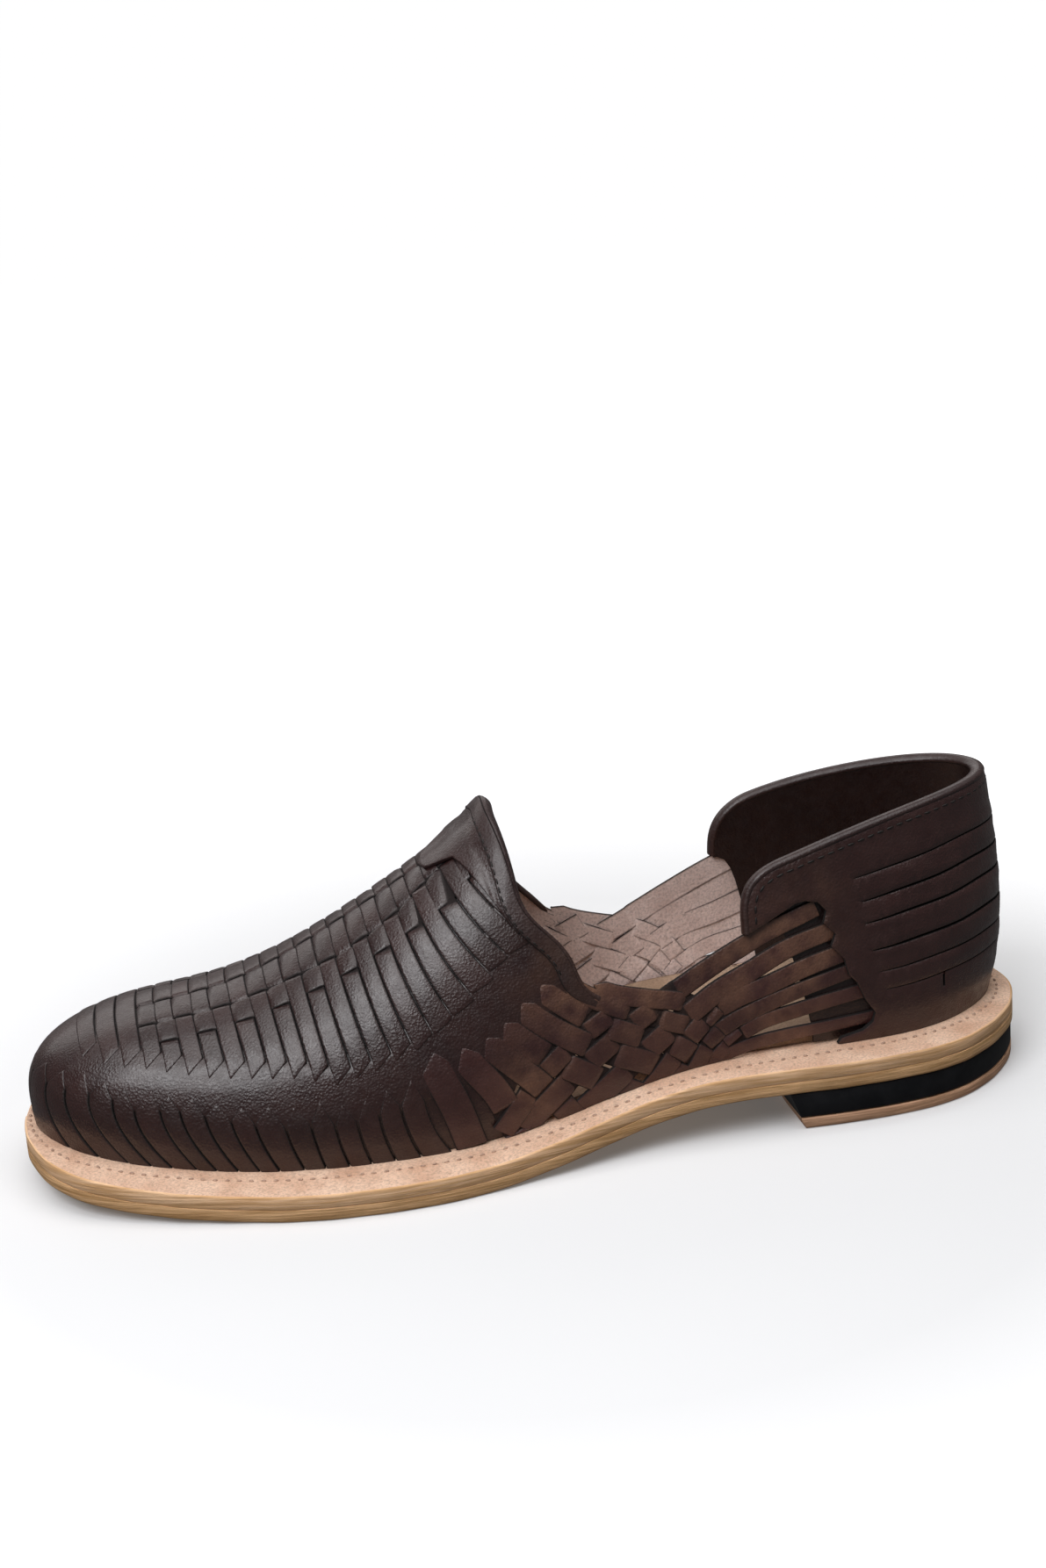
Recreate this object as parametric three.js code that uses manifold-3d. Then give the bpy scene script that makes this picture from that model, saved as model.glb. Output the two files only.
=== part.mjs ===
// Huarache shoe, left foot: a closed-toe woven slip-on with a low heel.
// Millimetres. +X points to the toe, +Y to the outer (lateral) side, +Z up.
// The shoe stands on z = 0 and the middle of its box is at x = y = 0.
//
// Every curved piece comes from one ring of ribs. A rib starts on the feather line, where the
// upper meets the midsole, and climbs over the wall to the ridge of the vamp or, behind the
// throat, to a lid far above the topline. The upper is the space between that form and a
// smaller one, cut open at the topline, at the strap slots and underneath.

import * as THREE from 'three';
import Module from 'manifold-3d';

const wasm = await Module();
wasm.setup();

// Driving sizes
const GAP = 0.3;               // between pieces that touch
const UPPER_WALL = 1.8;        // woven leather
const COUNTER_WALL = 1.6;      // heel counter leather
const TAB_WALL = 1.2;          // throat tab leather
const OUTSOLE_THICKNESS = 3.4;
const MIDSOLE_THICKNESS = 3.3;
const INSOLE_THICKNESS = 2.0;
const HEEL_RISE = 10.4;        // floor to the underside of the outsole at the heel
const TOP_PIECE_THICKNESS = 3.0;
const TOE_SPRING = 6.6;        // floor to the underside of the outsole at the toe tip
const SOLE_LENGTH = 271.5;
const HEEL_FRONT = 74;         // where the heel breast meets the outsole
const HEEL_UNDERCUT = 4;       // the breast leans back by this much on its way down
const HEEL_INSET = 0.4;        // the heel's wall inside the outsole's edge
const SEAT_END = 86;           // the heel seat is level up to here, then comes the arch
const ARCH_END = 160;          // the forefoot lies flat from here
const FLAT_END = 200;          // to here, then the toe springs up

// How finely the surfaces are cut into flat faces
const STEPS_AROUND = 80;
const STEPS_UP = 12;
const SOLE_STEPS = 120;
const PROFILE_STEPS = 50;      // stations of the sole's side profile, between these two x
const PROFILE_START = -14;
const PROFILE_END = 286;
const SKIRT = 6;               // the forms reach this far below the midsole before they are cut
const REACH = 90;              // cutters reach this far to each side
const ABOVE = 150;             // and this far up

// Ribs from the heel's back (row 0) to the toe's tip (row 10). Rows 1 to 9 stand twice, once on
// each side. lateral and medial: x and y of the foot of the rib, flange (how far the sole's edge
// stands out from it), lean and rise of the wall's handle. top: x, y and z of the rib's top,
// half (how far each side's top stands from the middle), slope of the ridge along x, reach of
// the crown's handle and droop below the ridge's own plane.
const RIBS = [
  {
    lateral: [6.6, 1.5, 8.0, 7, 20], medial: [6.6, 1.5, 8.0, 7, 20],
    top: [9.5, 1.5, 92, 0, 0, 5, 25],
  },
  {
    lateral: [19, 19.5, 11.5, 5, 20], medial: [20, -16.5, 10.5, 5, 20],
    top: [18.5, 1.5, 92, 11.5, 0, 5, 25],
  },
  {
    lateral: [40, 27.8, 13.5, 3, 20], medial: [40, -24.6, 11, 3, 20],
    top: [43, 1, 93, 20, 0, 2, 25],
  },
  {
    lateral: [70, 29.5, 12.5, 3, 18], medial: [70, -25.5, 10, 2, 18],
    top: [76, 0.5, 97, 22, 0, 2, 25],
  },
  {
    lateral: [105, 32.2, 10, 3, 18], medial: [105, -25.5, 9, 3, 18],
    top: [118, 0, 104, 9, -0.5, 12, 18],
  },
  {
    lateral: [140, 36.5, 11.5, 4, 30], medial: [138, -29.5, 9, 4, 30],
    top: [146, -1, 81.8, 1, -0.82, 24, 0],
  },
  {
    lateral: [175, 39.5, 14, 3, 26], medial: [168, -37.5, 9.5, 3, 26],
    top: [178, -2, 60.6, 1, -0.58, 24, 0],
  },
  {
    lateral: [205, 36.5, 14, 3, 23], medial: [196, -41.5, 10, 3, 23],
    top: [206, -3, 46.6, 1, -0.36, 24, 0],
  },
  {
    lateral: [232, 29.0, 13.5, 3, 22], medial: [224, -37.5, 10, 3, 22],
    top: [224, -4, 42, 1, -0.12, 24, 0],
  },
  {
    lateral: [255.5, 17.5, 10.5, 3, 20], medial: [253, -25.5, 8, 3, 21],
    top: [232, -4, 40.8, 0.8, -0.1, 25, 0],
  },
  {
    lateral: [267.6, -3.8, 2.4, 2.5, 20], medial: [267.6, -3.8, 2.4, 2.5, 20],
    top: [236, -4, 40.2, 0, -0.12, 26, 0],
  },
];
const LAST_RIB = RIBS.length - 1;
const RING = 2 * LAST_RIB;

// The ring: rows 0 to 10 on the lateral side, then 9 to 1 back along the medial side
const ring = Array.from({ length: RING }, (_, i) => {
  const side = i <= LAST_RIB ? 1 : -1;
  const row = RIBS[side > 0 ? i : RING - i];
  const [x, y, flange, lean, rise] = side > 0 ? row.lateral : row.medial;
  const [topX, middle, topZ, half, slope, reach, droop] = row.top;
  return { x, y, flange, lean, rise, topX, topY: middle + side * half, topZ, slope, reach, droop };
});

// A closed uniform cubic B-spline through the given values, as a function of the rib number
function throughValues(values) {
  const count = values.length;
  const at = (list, i) => list[(i + count) % count];
  const control = values.slice();
  for (let pass = 0; pass < 40; pass++) {
    const miss = values.map((value, i) => {
      return value - (at(control, i - 1) + 4 * control[i] + at(control, i + 1)) / 6;
    });
    miss.forEach((step, i) => {
      control[i] += step;
    });
  }
  return (u) => {
    const i = Math.floor(u);
    const t = u - i;
    const weights = [
      (1 - t) ** 3,
      3 * t ** 3 - 6 * t ** 2 + 4,
      -3 * t ** 3 + 3 * t ** 2 + 3 * t + 1,
      t ** 3,
    ];
    return weights.reduce((sum, weight, k) => sum + weight * at(control, i - 1 + k), 0) / 6;
  };
}

const column = {};
for (const name of Object.keys(ring[0])) {
  column[name] = throughValues(ring.map((rib) => rib[name]));
}

const ease = (t) => {
  const s = Math.min(Math.max(t, 0), 1);
  return s * s * (3 - 2 * s);
};

// Height of the outsole's underside, and of the midsole's top
function undersideZ(x) {
  const arch = HEEL_RISE * ease((ARCH_END - x) / (ARCH_END - SEAT_END));
  const spring = TOE_SPRING * Math.max(0, (x - FLAT_END) / (SOLE_LENGTH - FLAT_END)) ** 2;
  return arch + spring;
}
const bedZ = (x) => undersideZ(x) + OUTSOLE_THICKNESS + GAP + MIDSOLE_THICKNESS;

// Direction away from the foot, in plan, at a place on the ring
function outward(u) {
  const step = 0.01;
  const dx = column.x(u + step) - column.x(u - step);
  const dy = column.y(u + step) - column.y(u - step);
  return new THREE.Vector3(-dy, dx, 0).normalize();
}

// A point of the upper's outer surface: u runs round the ring, v climbs from 0 to 1
function surfacePoint(u, v) {
  const out = outward(u);
  const x = column.x(u);
  const foot = new THREE.Vector3(x, column.y(u), bedZ(x));
  const top = new THREE.Vector3(column.topX(u), column.topY(u), column.topZ(u));
  const wall = foot.clone().addScaledVector(out, column.lean(u));
  wall.z += column.rise(u);
  const crown = top.clone().addScaledVector(out, column.reach(u));
  crown.z += column.slope(u) * out.x * column.reach(u) - column.droop(u);
  const w = [(1 - v) ** 3, 3 * v * (1 - v) ** 2, 3 * v ** 2 * (1 - v), v ** 3];
  return foot.multiplyScalar(w[0]).addScaledVector(wall, w[1]).addScaledVector(crown, w[2])
    .addScaledVector(top, w[3]);
}

// The same point moved out along the surface's normal
function offsetPoint(u, v, distance) {
  const step = 0.004;
  const low = Math.max(v - step, 0);
  const high = Math.min(v + step, 1);
  const along = surfacePoint(u + step, v).sub(surfacePoint(u - step, v));
  const up = surfacePoint(u, high).sub(surfacePoint(u, low));
  const normal = up.cross(along).normalize();
  return surfacePoint(u, v).addScaledVector(normal, distance);
}

// Rings of points stacked from the bottom up become one closed solid. Its bottom and its top
// are closed by a ladder of faces between opposite points of the ring.
function solidOfRings(rings) {
  const count = rings[0].length;
  const vertProperties = new Float32Array(rings.flat().flatMap((p) => [p.x, p.y, p.z]));
  const triangles = [];
  for (let level = 0; level + 1 < rings.length; level++) {
    for (let k = 0; k < count; k++) {
      const a = level * count + k;
      const b = level * count + (k + 1) % count;
      triangles.push(a, a + count, b, b, a + count, b + count);
    }
  }
  const ladder = (start, flip) => {
    for (let k = 0; k < count / 2; k++) {
      const [a, b] = [start + k, start + k + 1];
      const [c, d] = [start + (count - k) % count, start + count - k - 1];
      const faces = [];
      if (a !== c) faces.push([a, b, c]);
      if (b !== d) faces.push([b, d, c]);
      for (const [i, j, l] of faces) {
        triangles.push(...(flip ? [i, l, j] : [i, j, l]));
      }
    }
  };
  ladder(0, false);
  ladder((rings.length - 1) * count, true);
  const triVerts = new Uint32Array(triangles);
  return new wasm.Manifold(new wasm.Mesh({ numProp: 3, vertProperties, triVerts }));
}

const around = Array.from({ length: STEPS_AROUND }, (_, k) => (k * RING) / STEPS_AROUND);

// The closed form of the last, grown by a distance; skirt is how far it hangs below the bed
function lastForm(distance, skirt) {
  const rows = Array.from({ length: STEPS_UP + 1 }, (_, j) => {
    return around.map((u) => offsetPoint(u, j / STEPS_UP, distance));
  });
  const hem = rows[0].map((p) => new THREE.Vector3(p.x, p.y, p.z - skirt));
  return solidOfRings([hem, ...rows]);
}

// An upright prism over the feather line moved out by a share of the flange, less an inset
function solePrism(share, inset) {
  const outline = Array.from({ length: SOLE_STEPS }, (_, k) => {
    const u = (k * RING) / SOLE_STEPS;
    const point = new THREE.Vector3(column.x(u), column.y(u), 0);
    return point.addScaledVector(outward(u), column.flange(u) * share - inset);
  });
  return solidOfRings([-REACH, REACH].map((z) => outline.map((p) => new THREE.Vector3(p.x, p.y, z))));
}

// A side-view outline (x, z) pushed through the shoe from one y to another
function sideCutter(shape, fromY, toY) {
  const geometry = new THREE.ExtrudeGeometry(shape, {
    depth: toY - fromY, bevelEnabled: false, steps: 1, curveSegments: 6,
  });
  geometry.rotateX(Math.PI / 2);
  geometry.translate(0, toY, 0);
  return solidOfGeometry(geometry);
}

// A slab as wide as the cutters, between two heights that follow x
function slab(lowZ, highZ) {
  const stations = Array.from({ length: PROFILE_STEPS + 1 }, (_, k) => {
    return PROFILE_START + (k * (PROFILE_END - PROFILE_START)) / PROFILE_STEPS;
  });
  const high = stations.map((x) => [x, highZ(x)]);
  const low = stations.map((x) => [x, lowZ(x)]).reverse();
  return solidOfRings([REACH, -REACH].map((y) => {
    return [...high, ...low].map(([x, z]) => new THREE.Vector3(x, y, z));
  }));
}

// Corners that two or more faces share are welded before manifold-3d reads a geometry
function solidOfGeometry(geometry) {
  const position = geometry.getAttribute('position');
  const numberOf = new Map();
  const corners = [];
  const order = [];
  for (let i = 0; i < position.count; i++) {
    const corner = [position.getX(i), position.getY(i), position.getZ(i)];
    const key = corner.map((value) => value.toFixed(4)).join(' ');
    if (!numberOf.has(key)) {
      numberOf.set(key, corners.length);
      corners.push(corner);
    }
    order.push(numberOf.get(key));
  }
  const indices = geometry.index ? [...geometry.index.array].map((i) => order[i]) : order;
  const triVerts = new Uint32Array(indices);
  const vertProperties = new Float32Array(corners.flat());
  return new wasm.Manifold(new wasm.Mesh({ numProp: 3, vertProperties, triVerts }));
}

// The topline on each side, as Bezier handles and ends (x, z): from the throat's peak down its
// edge, round the shoulder to the waist, and back over the top strap to the counter's flap
const TOPLINES = {
  lateral: {
    fromY: 0, toY: REACH, flapX: 80.3,
    throat: [140.5, 82, 139.5, 76, 139, 69],
    shoulder: [138, 59, 128, 59, 126, 47],
    waist: [124, 40.5, 118, 38.8, 113, 39],
    strap: [105, 39.3, 97, 43.5, 80.3, 50],
  },
  medial: {
    fromY: -REACH, toY: 0, flapX: 75,
    throat: [140.5, 82, 139, 74, 137.5, 66],
    shoulder: [136, 54, 127, 50, 123.5, 43.5],
    waist: [121, 41, 116, 41.5, 111, 41.5],
    strap: [103, 41.5, 95, 45, 75, 53],
  },
};

// Behind the flap both sides share one topline, back to the middle of the heel
const THROAT_PEAK = [143, 92];
const FLAP_FOOT_Z = 57;
const FLAP_END = [66, 70];
const HEEL_LINE = [[50, 75, 30, 78.5, 13, 80], [8, 80.5, 4, 80.5, -12, 80]];

// Everything above one side's topline
function aboveTopline(line) {
  const edge = new THREE.Shape();
  edge.moveTo(THROAT_PEAK[0] + 1, ABOVE);
  edge.lineTo(...THROAT_PEAK);
  edge.bezierCurveTo(...line.throat);
  edge.bezierCurveTo(...line.shoulder);
  edge.bezierCurveTo(...line.waist);
  edge.bezierCurveTo(...line.strap);
  edge.lineTo(line.flapX, FLAP_FOOT_Z);
  edge.bezierCurveTo(line.flapX - 0.3, 65, line.flapX - 4.5, 67.5, ...FLAP_END);
  for (const handles of HEEL_LINE) edge.bezierCurveTo(...handles);
  edge.lineTo(HEEL_LINE.at(-1).at(-2), ABOVE);
  return sideCutter(edge, line.fromY, line.toY);
}

// Slots between the strap bands in front of the counter: rear and front end, and middle height
const STRAP_SLOTS = [
  { side: 1, rear: [62, 52], front: [97, 37.4], height: 2.4 },
  { side: 1, rear: [73, 34.6], front: [87.5, 30.2], height: 1.2 },
  { side: 1, rear: [62, 25], front: [84, 21.2], height: 1.2 },
  { side: -1, rear: [62, 50.0], front: [92, 39.0], height: 1.8 },
  { side: -1, rear: [66, 34.4], front: [86, 30.0], height: 1.2 },
];
function strapSlot({ side, rear, front, height }) {
  const along = (share) => [0, 1].map((i) => rear[i] + (front[i] - rear[i]) * share);
  const [x0, z0] = along(0.25);
  const [x1, z1] = along(0.75);
  const slot = new THREE.Shape();
  slot.moveTo(...rear);
  slot.lineTo(x0, z0 - height / 2);
  slot.lineTo(x1, z1 - height / 2);
  slot.lineTo(...front);
  slot.lineTo(x1, z1 + height / 2);
  slot.lineTo(x0, z0 + height / 2);
  return sideCutter(slot, side > 0 ? 0 : -REACH, side > 0 ? REACH : 0);
}

// The heel counter's outline: over the flap, down the front, back along the top strap, down
// the slanted front edge and forward again at the sole
function counterRegion() {
  const edge = new THREE.Shape();
  edge.moveTo(-20, ABOVE);
  edge.lineTo(-20, 0);
  edge.lineTo(57, 0);
  edge.lineTo(57, 18.5);
  edge.bezierCurveTo(50, 18.5, 45, 19.5, 45, 23);
  edge.lineTo(48, 34);
  edge.lineTo(60, 56.5);
  edge.lineTo(80, 51.3);
  edge.lineTo(100, 51.3);
  edge.lineTo(100, ABOVE);
  return sideCutter(edge, -REACH, REACH);
}

// The throat tab's outline: a tongue of leather over the end of the vamp
function tabRegion() {
  const edge = new THREE.Shape();
  edge.moveTo(120, ABOVE);
  edge.lineTo(120, 64);
  edge.lineTo(137, 62.5);
  edge.lineTo(153, 75);
  edge.lineTo(158.5, 71);
  edge.lineTo(161, 72);
  edge.lineTo(161, ABOVE);
  return sideCutter(edge, -REACH, REACH);
}

// Where the heel stands: behind its leaning breast, with room behind, below and above it
function heelRegion() {
  const room = 20;
  const breastFoot = HEEL_FRONT - HEEL_UNDERCUT;
  const side = new THREE.Shape();
  side.moveTo(-room, -room);
  side.lineTo(breastFoot, -room);
  side.lineTo(breastFoot, 0);
  side.lineTo(HEEL_FRONT, HEEL_RISE);
  side.lineTo(HEEL_FRONT, room);
  side.lineTo(-room, room);
  return sideCutter(side, -REACH, REACH);
}

const topline = aboveTopline(TOPLINES.lateral).add(aboveTopline(TOPLINES.medial));
const sole = slab(() => -REACH, (x) => bedZ(x) + GAP);
const slots = STRAP_SLOTS.map(strapSlot);

const outer = lastForm(0, SKIRT);
const inner = lastForm(-UPPER_WALL, SKIRT + 1);
let upper = outer.subtract(inner).subtract(sole).subtract(topline);
for (const slot of slots) upper = upper.subtract(slot);

const counter = lastForm(GAP + COUNTER_WALL, SKIRT).subtract(lastForm(GAP, SKIRT + 1))
  .intersect(counterRegion()).subtract(sole).subtract(topline);
const tab = lastForm(GAP + TAB_WALL, SKIRT).subtract(lastForm(GAP, SKIRT + 1))
  .intersect(tabRegion()).subtract(sole).subtract(topline);

const outsoleTop = (x) => undersideZ(x) + OUTSOLE_THICKNESS;
const insoleLow = (x) => bedZ(x) + GAP;
const soleOutline = solePrism(1, 0);
const outsole = soleOutline.intersect(slab(undersideZ, outsoleTop));
const midsole = soleOutline.intersect(slab((x) => outsoleTop(x) + GAP, bedZ));
const insole = solePrism(0, UPPER_WALL + 2 * GAP)
  .intersect(slab(insoleLow, (x) => insoleLow(x) + INSOLE_THICKNESS));

const heelBlock = solePrism(1, HEEL_INSET).intersect(heelRegion());
const heelLift = heelBlock.intersect(slab(() => TOP_PIECE_THICKNESS + GAP, (x) => undersideZ(x) - GAP));
const heelTopPiece = heelBlock.intersect(slab(() => 0, () => TOP_PIECE_THICKNESS));

const shoe = new THREE.Group();
function addPiece(name, solid, colour, roughness) {
  const { vertProperties, triVerts } = solid.getMesh();
  const geometry = new THREE.BufferGeometry();
  geometry.setAttribute('position', new THREE.BufferAttribute(new Float32Array(vertProperties), 3));
  geometry.setIndex(new THREE.BufferAttribute(new Uint32Array(triVerts), 1));
  geometry.computeVertexNormals();
  const material = new THREE.MeshStandardMaterial({ color: colour, roughness, metalness: 0 });
  const mesh = new THREE.Mesh(geometry, material);
  mesh.name = name;
  shoe.add(mesh);
}

addPiece('outsole', outsole, 0xc8a56e, 0.8);
addPiece('midsole', midsole, 0xe1b496, 0.9);
addPiece('insole', insole, 0xbea08c, 0.9);
addPiece('upper', upper, 0x3c2a26, 0.4);
addPiece('throat_tab', tab, 0x3c2a26, 0.35);
addPiece('heel_counter', counter, 0x3a2926, 0.4);
addPiece('heel_lift', heelLift, 0x101014, 0.5);
addPiece('heel_top_piece', heelTopPiece, 0xb98769, 0.8);

const box = new THREE.Box3().setFromObject(shoe);
shoe.position.set(-(box.min.x + box.max.x) / 2, -(box.min.y + box.max.y) / 2, 0);

export default shoe;
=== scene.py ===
# %% [markdown]
# # A woven huarache shoe, left foot
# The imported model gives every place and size. Blender adds what a maker's hands add: strips
# woven over a last, folded edges, stitches, raw flange leather and a stacked heel.
# Each step below says what the piece is on the real shoe, how it could be made and why it is
# made this way. Lengths are in millimetres until a mesh is built, and in metres from there on.

import math

import bmesh
import bpy
import numpy as np
from mathutils import Matrix, Vector
from mathutils.bvhtree import BVHTree
from mathutils.geometry import delaunay_2d_cdt
from mathutils.interpolate import poly_3d_calc


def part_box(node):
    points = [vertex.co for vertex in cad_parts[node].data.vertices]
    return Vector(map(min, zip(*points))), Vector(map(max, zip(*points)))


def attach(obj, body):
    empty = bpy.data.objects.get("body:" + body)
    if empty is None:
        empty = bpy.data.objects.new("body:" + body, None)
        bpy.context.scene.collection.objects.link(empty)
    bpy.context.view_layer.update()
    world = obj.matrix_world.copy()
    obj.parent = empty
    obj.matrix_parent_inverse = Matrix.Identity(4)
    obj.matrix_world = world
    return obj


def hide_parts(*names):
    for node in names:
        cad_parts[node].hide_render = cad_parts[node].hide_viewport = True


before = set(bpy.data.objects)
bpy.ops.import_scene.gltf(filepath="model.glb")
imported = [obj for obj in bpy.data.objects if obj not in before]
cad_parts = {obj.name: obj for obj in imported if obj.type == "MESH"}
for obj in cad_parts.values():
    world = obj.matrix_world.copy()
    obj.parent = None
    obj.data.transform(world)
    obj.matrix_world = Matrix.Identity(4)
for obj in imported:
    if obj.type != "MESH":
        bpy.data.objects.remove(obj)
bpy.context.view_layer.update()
print("nodes:", sorted(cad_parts))

# %% [markdown]
# ## Camera
# The eye stands a little behind the ball of the foot on the outer side, two hand-spans above
# the floor. A normal lens keeps the toe and the heel in their true proportions, and a slight
# roll lets the sole fall towards the toe. The three directions of the camera are given as
# vectors, because a roll is easier to read there than in three angles.

# %% Camera
CAMERA_PLACE = Vector((0.08587, 0.54265, 0.26934))
CAMERA_RIGHT = Vector((-0.98105321, 0.18219937, -0.06586346))
CAMERA_UP = Vector((-0.11823285, -0.29373385, 0.948547))
CAMERA_BACK = CAMERA_RIGHT.cross(CAMERA_UP)
LENS = 50.73
FILM = 36.0
NEAREST_VIEW = 0.01
camera_data = bpy.data.cameras.new("camera")
camera_data.lens = LENS
camera_data.sensor_width = FILM
camera_data.clip_start = NEAREST_VIEW
camera = bpy.data.objects.new("camera", camera_data)
bpy.context.scene.collection.objects.link(camera)
turn = Matrix((CAMERA_RIGHT, CAMERA_UP, CAMERA_BACK)).transposed()
camera.matrix_world = Matrix.Translation(CAMERA_PLACE) @ turn.to_4x4()
bpy.context.scene.camera = camera
print("camera looks along", [round(v, 3) for v in -CAMERA_BACK])

# %% [markdown]
# ## The last
# Every strip lies on one smooth form, the last. It is a ring of ribs: each rib starts on the
# feather line, where the upper meets the midsole, and climbs over the wall to the ridge of the
# vamp. The same short table as in the model's source is used, with x = 0 at the back of the
# heel. A mesh could be sculpted to this form, but a formula gives every strip the same exact
# surface: a cubic B-spline runs through the ribs, so that the form has no facets.

# %% Ribs of the last
SHEET_GAP = 0.3
OUTSOLE_THICKNESS = 3.4
MIDSOLE_THICKNESS = 3.3
INSOLE_THICKNESS = 2.0
HEEL_RISE = 10.4
TOP_PIECE_THICKNESS = 3.0
TOE_SPRING = 6.6
SOLE_LENGTH = 271.5
SEAT_END, ARCH_END, FLAT_END = 86, 160, 200

# lateral and medial: x, y, flange, lean, rise; top: x, middle, z, half, slope, reach, droop
RIBS = [
    ((6.6, 1.5, 8.0, 7, 20), (6.6, 1.5, 8.0, 7, 20), (9.5, 1.5, 92, 0, 0, 5, 25)),
    ((19, 19.5, 11.5, 5, 20), (20, -16.5, 10.5, 5, 20), (18.5, 1.5, 92, 11.5, 0, 5, 25)),
    ((40, 27.8, 13.5, 3, 20), (40, -24.6, 11, 3, 20), (43, 1, 93, 20, 0, 2, 25)),
    ((70, 29.5, 12.5, 3, 18), (70, -25.5, 10, 2, 18), (76, 0.5, 97, 22, 0, 2, 25)),
    ((105, 32.2, 10, 3, 18), (105, -25.5, 9, 3, 18), (118, 0, 104, 9, -0.5, 12, 18)),
    ((140, 36.5, 11.5, 4, 30), (138, -29.5, 9, 4, 30), (146, -1, 81.8, 1, -0.82, 24, 0)),
    ((175, 39.5, 14, 3, 26), (168, -37.5, 9.5, 3, 26), (178, -2, 60.6, 1, -0.58, 24, 0)),
    ((205, 36.5, 14, 3, 23), (196, -41.5, 10, 3, 23), (206, -3, 46.6, 1, -0.36, 24, 0)),
    ((232, 29.0, 13.5, 3, 22), (224, -37.5, 10, 3, 22), (224, -4, 42, 1, -0.12, 24, 0)),
    ((255.5, 17.5, 10.5, 3, 20), (253, -25.5, 8, 3, 21), (232, -4, 40.8, 0.8, -0.1, 25, 0)),
    ((267.6, -3.8, 2.4, 2.5, 20), (267.6, -3.8, 2.4, 2.5, 20), (236, -4, 40.2, 0, -0.12, 26, 0)),
]
LAST_RIB = len(RIBS) - 1
RING = 2 * LAST_RIB
X, Y, FLANGE, LEAN, RISE, TOP_X, TOP_Y, TOP_Z, SLOPE, REACH, DROOP = range(11)


def ring_rows():
    """Rows 0 to 10 on the lateral side, then 9 to 1 back along the medial side."""
    rows = []
    for i in range(RING):
        side = 1 if i <= LAST_RIB else -1
        lateral, medial, top = RIBS[i if side > 0 else RING - i]
        top_x, middle, top_z, half, slope, reach, droop = top
        foot = lateral if side > 0 else medial
        rows.append([*foot, top_x, middle + side * half, top_z, slope, reach, droop])
    return np.array(rows, float)


def spline_control(values, rounds=40):
    """Control values of the closed B-spline that passes through the given rows."""
    control = values.copy()
    for _ in range(rounds):
        control += values - (np.roll(control, 1, 0) + 4 * control + np.roll(control, -1, 0)) / 6
    return control


RIB_CONTROL = spline_control(ring_rows())
print("the last has", RING, "ribs in its ring")

# %% Points between the ribs
def rib(u):
    """All columns of the table at ring place u, which may lie between two ribs."""
    u = np.asarray(u, float) % RING
    i = np.floor(u).astype(int)
    t = (u - i)[..., None]
    weights = [(1 - t) ** 3, 3 * t**3 - 6 * t**2 + 4, -3 * t**3 + 3 * t**2 + 3 * t + 1, t**3]
    return sum(w * RIB_CONTROL[(i - 1 + k) % RING] for k, w in enumerate(weights)) / 6


def outward(u):
    """Direction away from the foot, in plan."""
    d = rib(np.asarray(u) + 0.01) - rib(np.asarray(u) - 0.01)
    out = np.stack([-d[..., Y], d[..., X], 0 * d[..., X]], -1)
    return out / np.linalg.norm(out, axis=-1, keepdims=True)


def underside(x):
    """Height of the outsole's underside: level heel seat, arch, flat forefoot, toe spring."""
    s = np.clip((ARCH_END - x) / (ARCH_END - SEAT_END), 0, 1)
    spring = np.maximum(0, (x - FLAT_END) / (SOLE_LENGTH - FLAT_END)) ** 2
    return HEEL_RISE * s * s * (3 - 2 * s) + TOE_SPRING * spring


def outsole_top(x):
    return underside(x) + OUTSOLE_THICKNESS


def bed(x):
    """Height of the midsole's top, on which the upper stands."""
    return outsole_top(x) + SHEET_GAP + MIDSOLE_THICKNESS


def last_point(u, v):
    """A point of the last: u runs round the ring, v climbs from the feather line to the ridge."""
    c, out = rib(u), outward(u)
    up = np.array([0.0, 0.0, 1.0])
    foot = np.stack([c[..., X], c[..., Y], bed(c[..., X])], -1)
    top = c[..., TOP_X : TOP_Z + 1]
    wall = foot + out * c[..., LEAN, None] + up * c[..., RISE, None]
    fall = c[..., SLOPE] * out[..., 0] * c[..., REACH] - c[..., DROOP]
    crown = top + out * c[..., REACH, None] + up * fall[..., None]
    v = np.asarray(v, float)[..., None]
    low_half = foot * (1 - v) ** 3 + wall * 3 * v * (1 - v) ** 2
    return low_half + crown * 3 * v * v * (1 - v) + top * v**3


def last_normal(u, v):
    """Outward normal of the last at (u, v)."""
    along = last_point(u + 0.01, v) - last_point(u - 0.01, v)
    above, below = np.minimum(v + 0.004, 1), np.maximum(v - 0.004, 0)
    normal = np.cross(last_point(u, above) - last_point(u, below), along)
    return normal / np.linalg.norm(normal, axis=-1, keepdims=True)


OUTLINE_STEPS = 120
outline_u = np.arange(OUTLINE_STEPS) * RING / OUTLINE_STEPS
sole_outline = rib(outline_u)[:, :2] + outward(outline_u)[:, :2] * rib(outline_u)[:, FLANGE, None]
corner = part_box("outsole")[0]
low_x, low_y = sole_outline.min(0)
SHIFT = np.array([low_x - corner.x * 1000, low_y - corner.y * 1000, 0.0])
print("the last's x = y = 0 lies at", np.round(-SHIFT, 2), "mm in the row frame")

# %% [markdown]
# ## Finding places on the last
# A weaver lays a strip on the form by eye, looking from the side or from above. The helpers do
# the same: a fine copy of the last is put in a search tree, a ray is sent to it from inside, and
# the answer is the place and the smooth normal there. A Shrinkwrap modifier would do this for a
# finished mesh, but here a strip is still to be drawn, so each of its points is asked for.

# %% A searchable copy of the last
TREE_AROUND, TREE_UP = 600, 120
AXIS_Z = 22.0
FLOOR_OF_LAST_Z = 24.0


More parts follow.
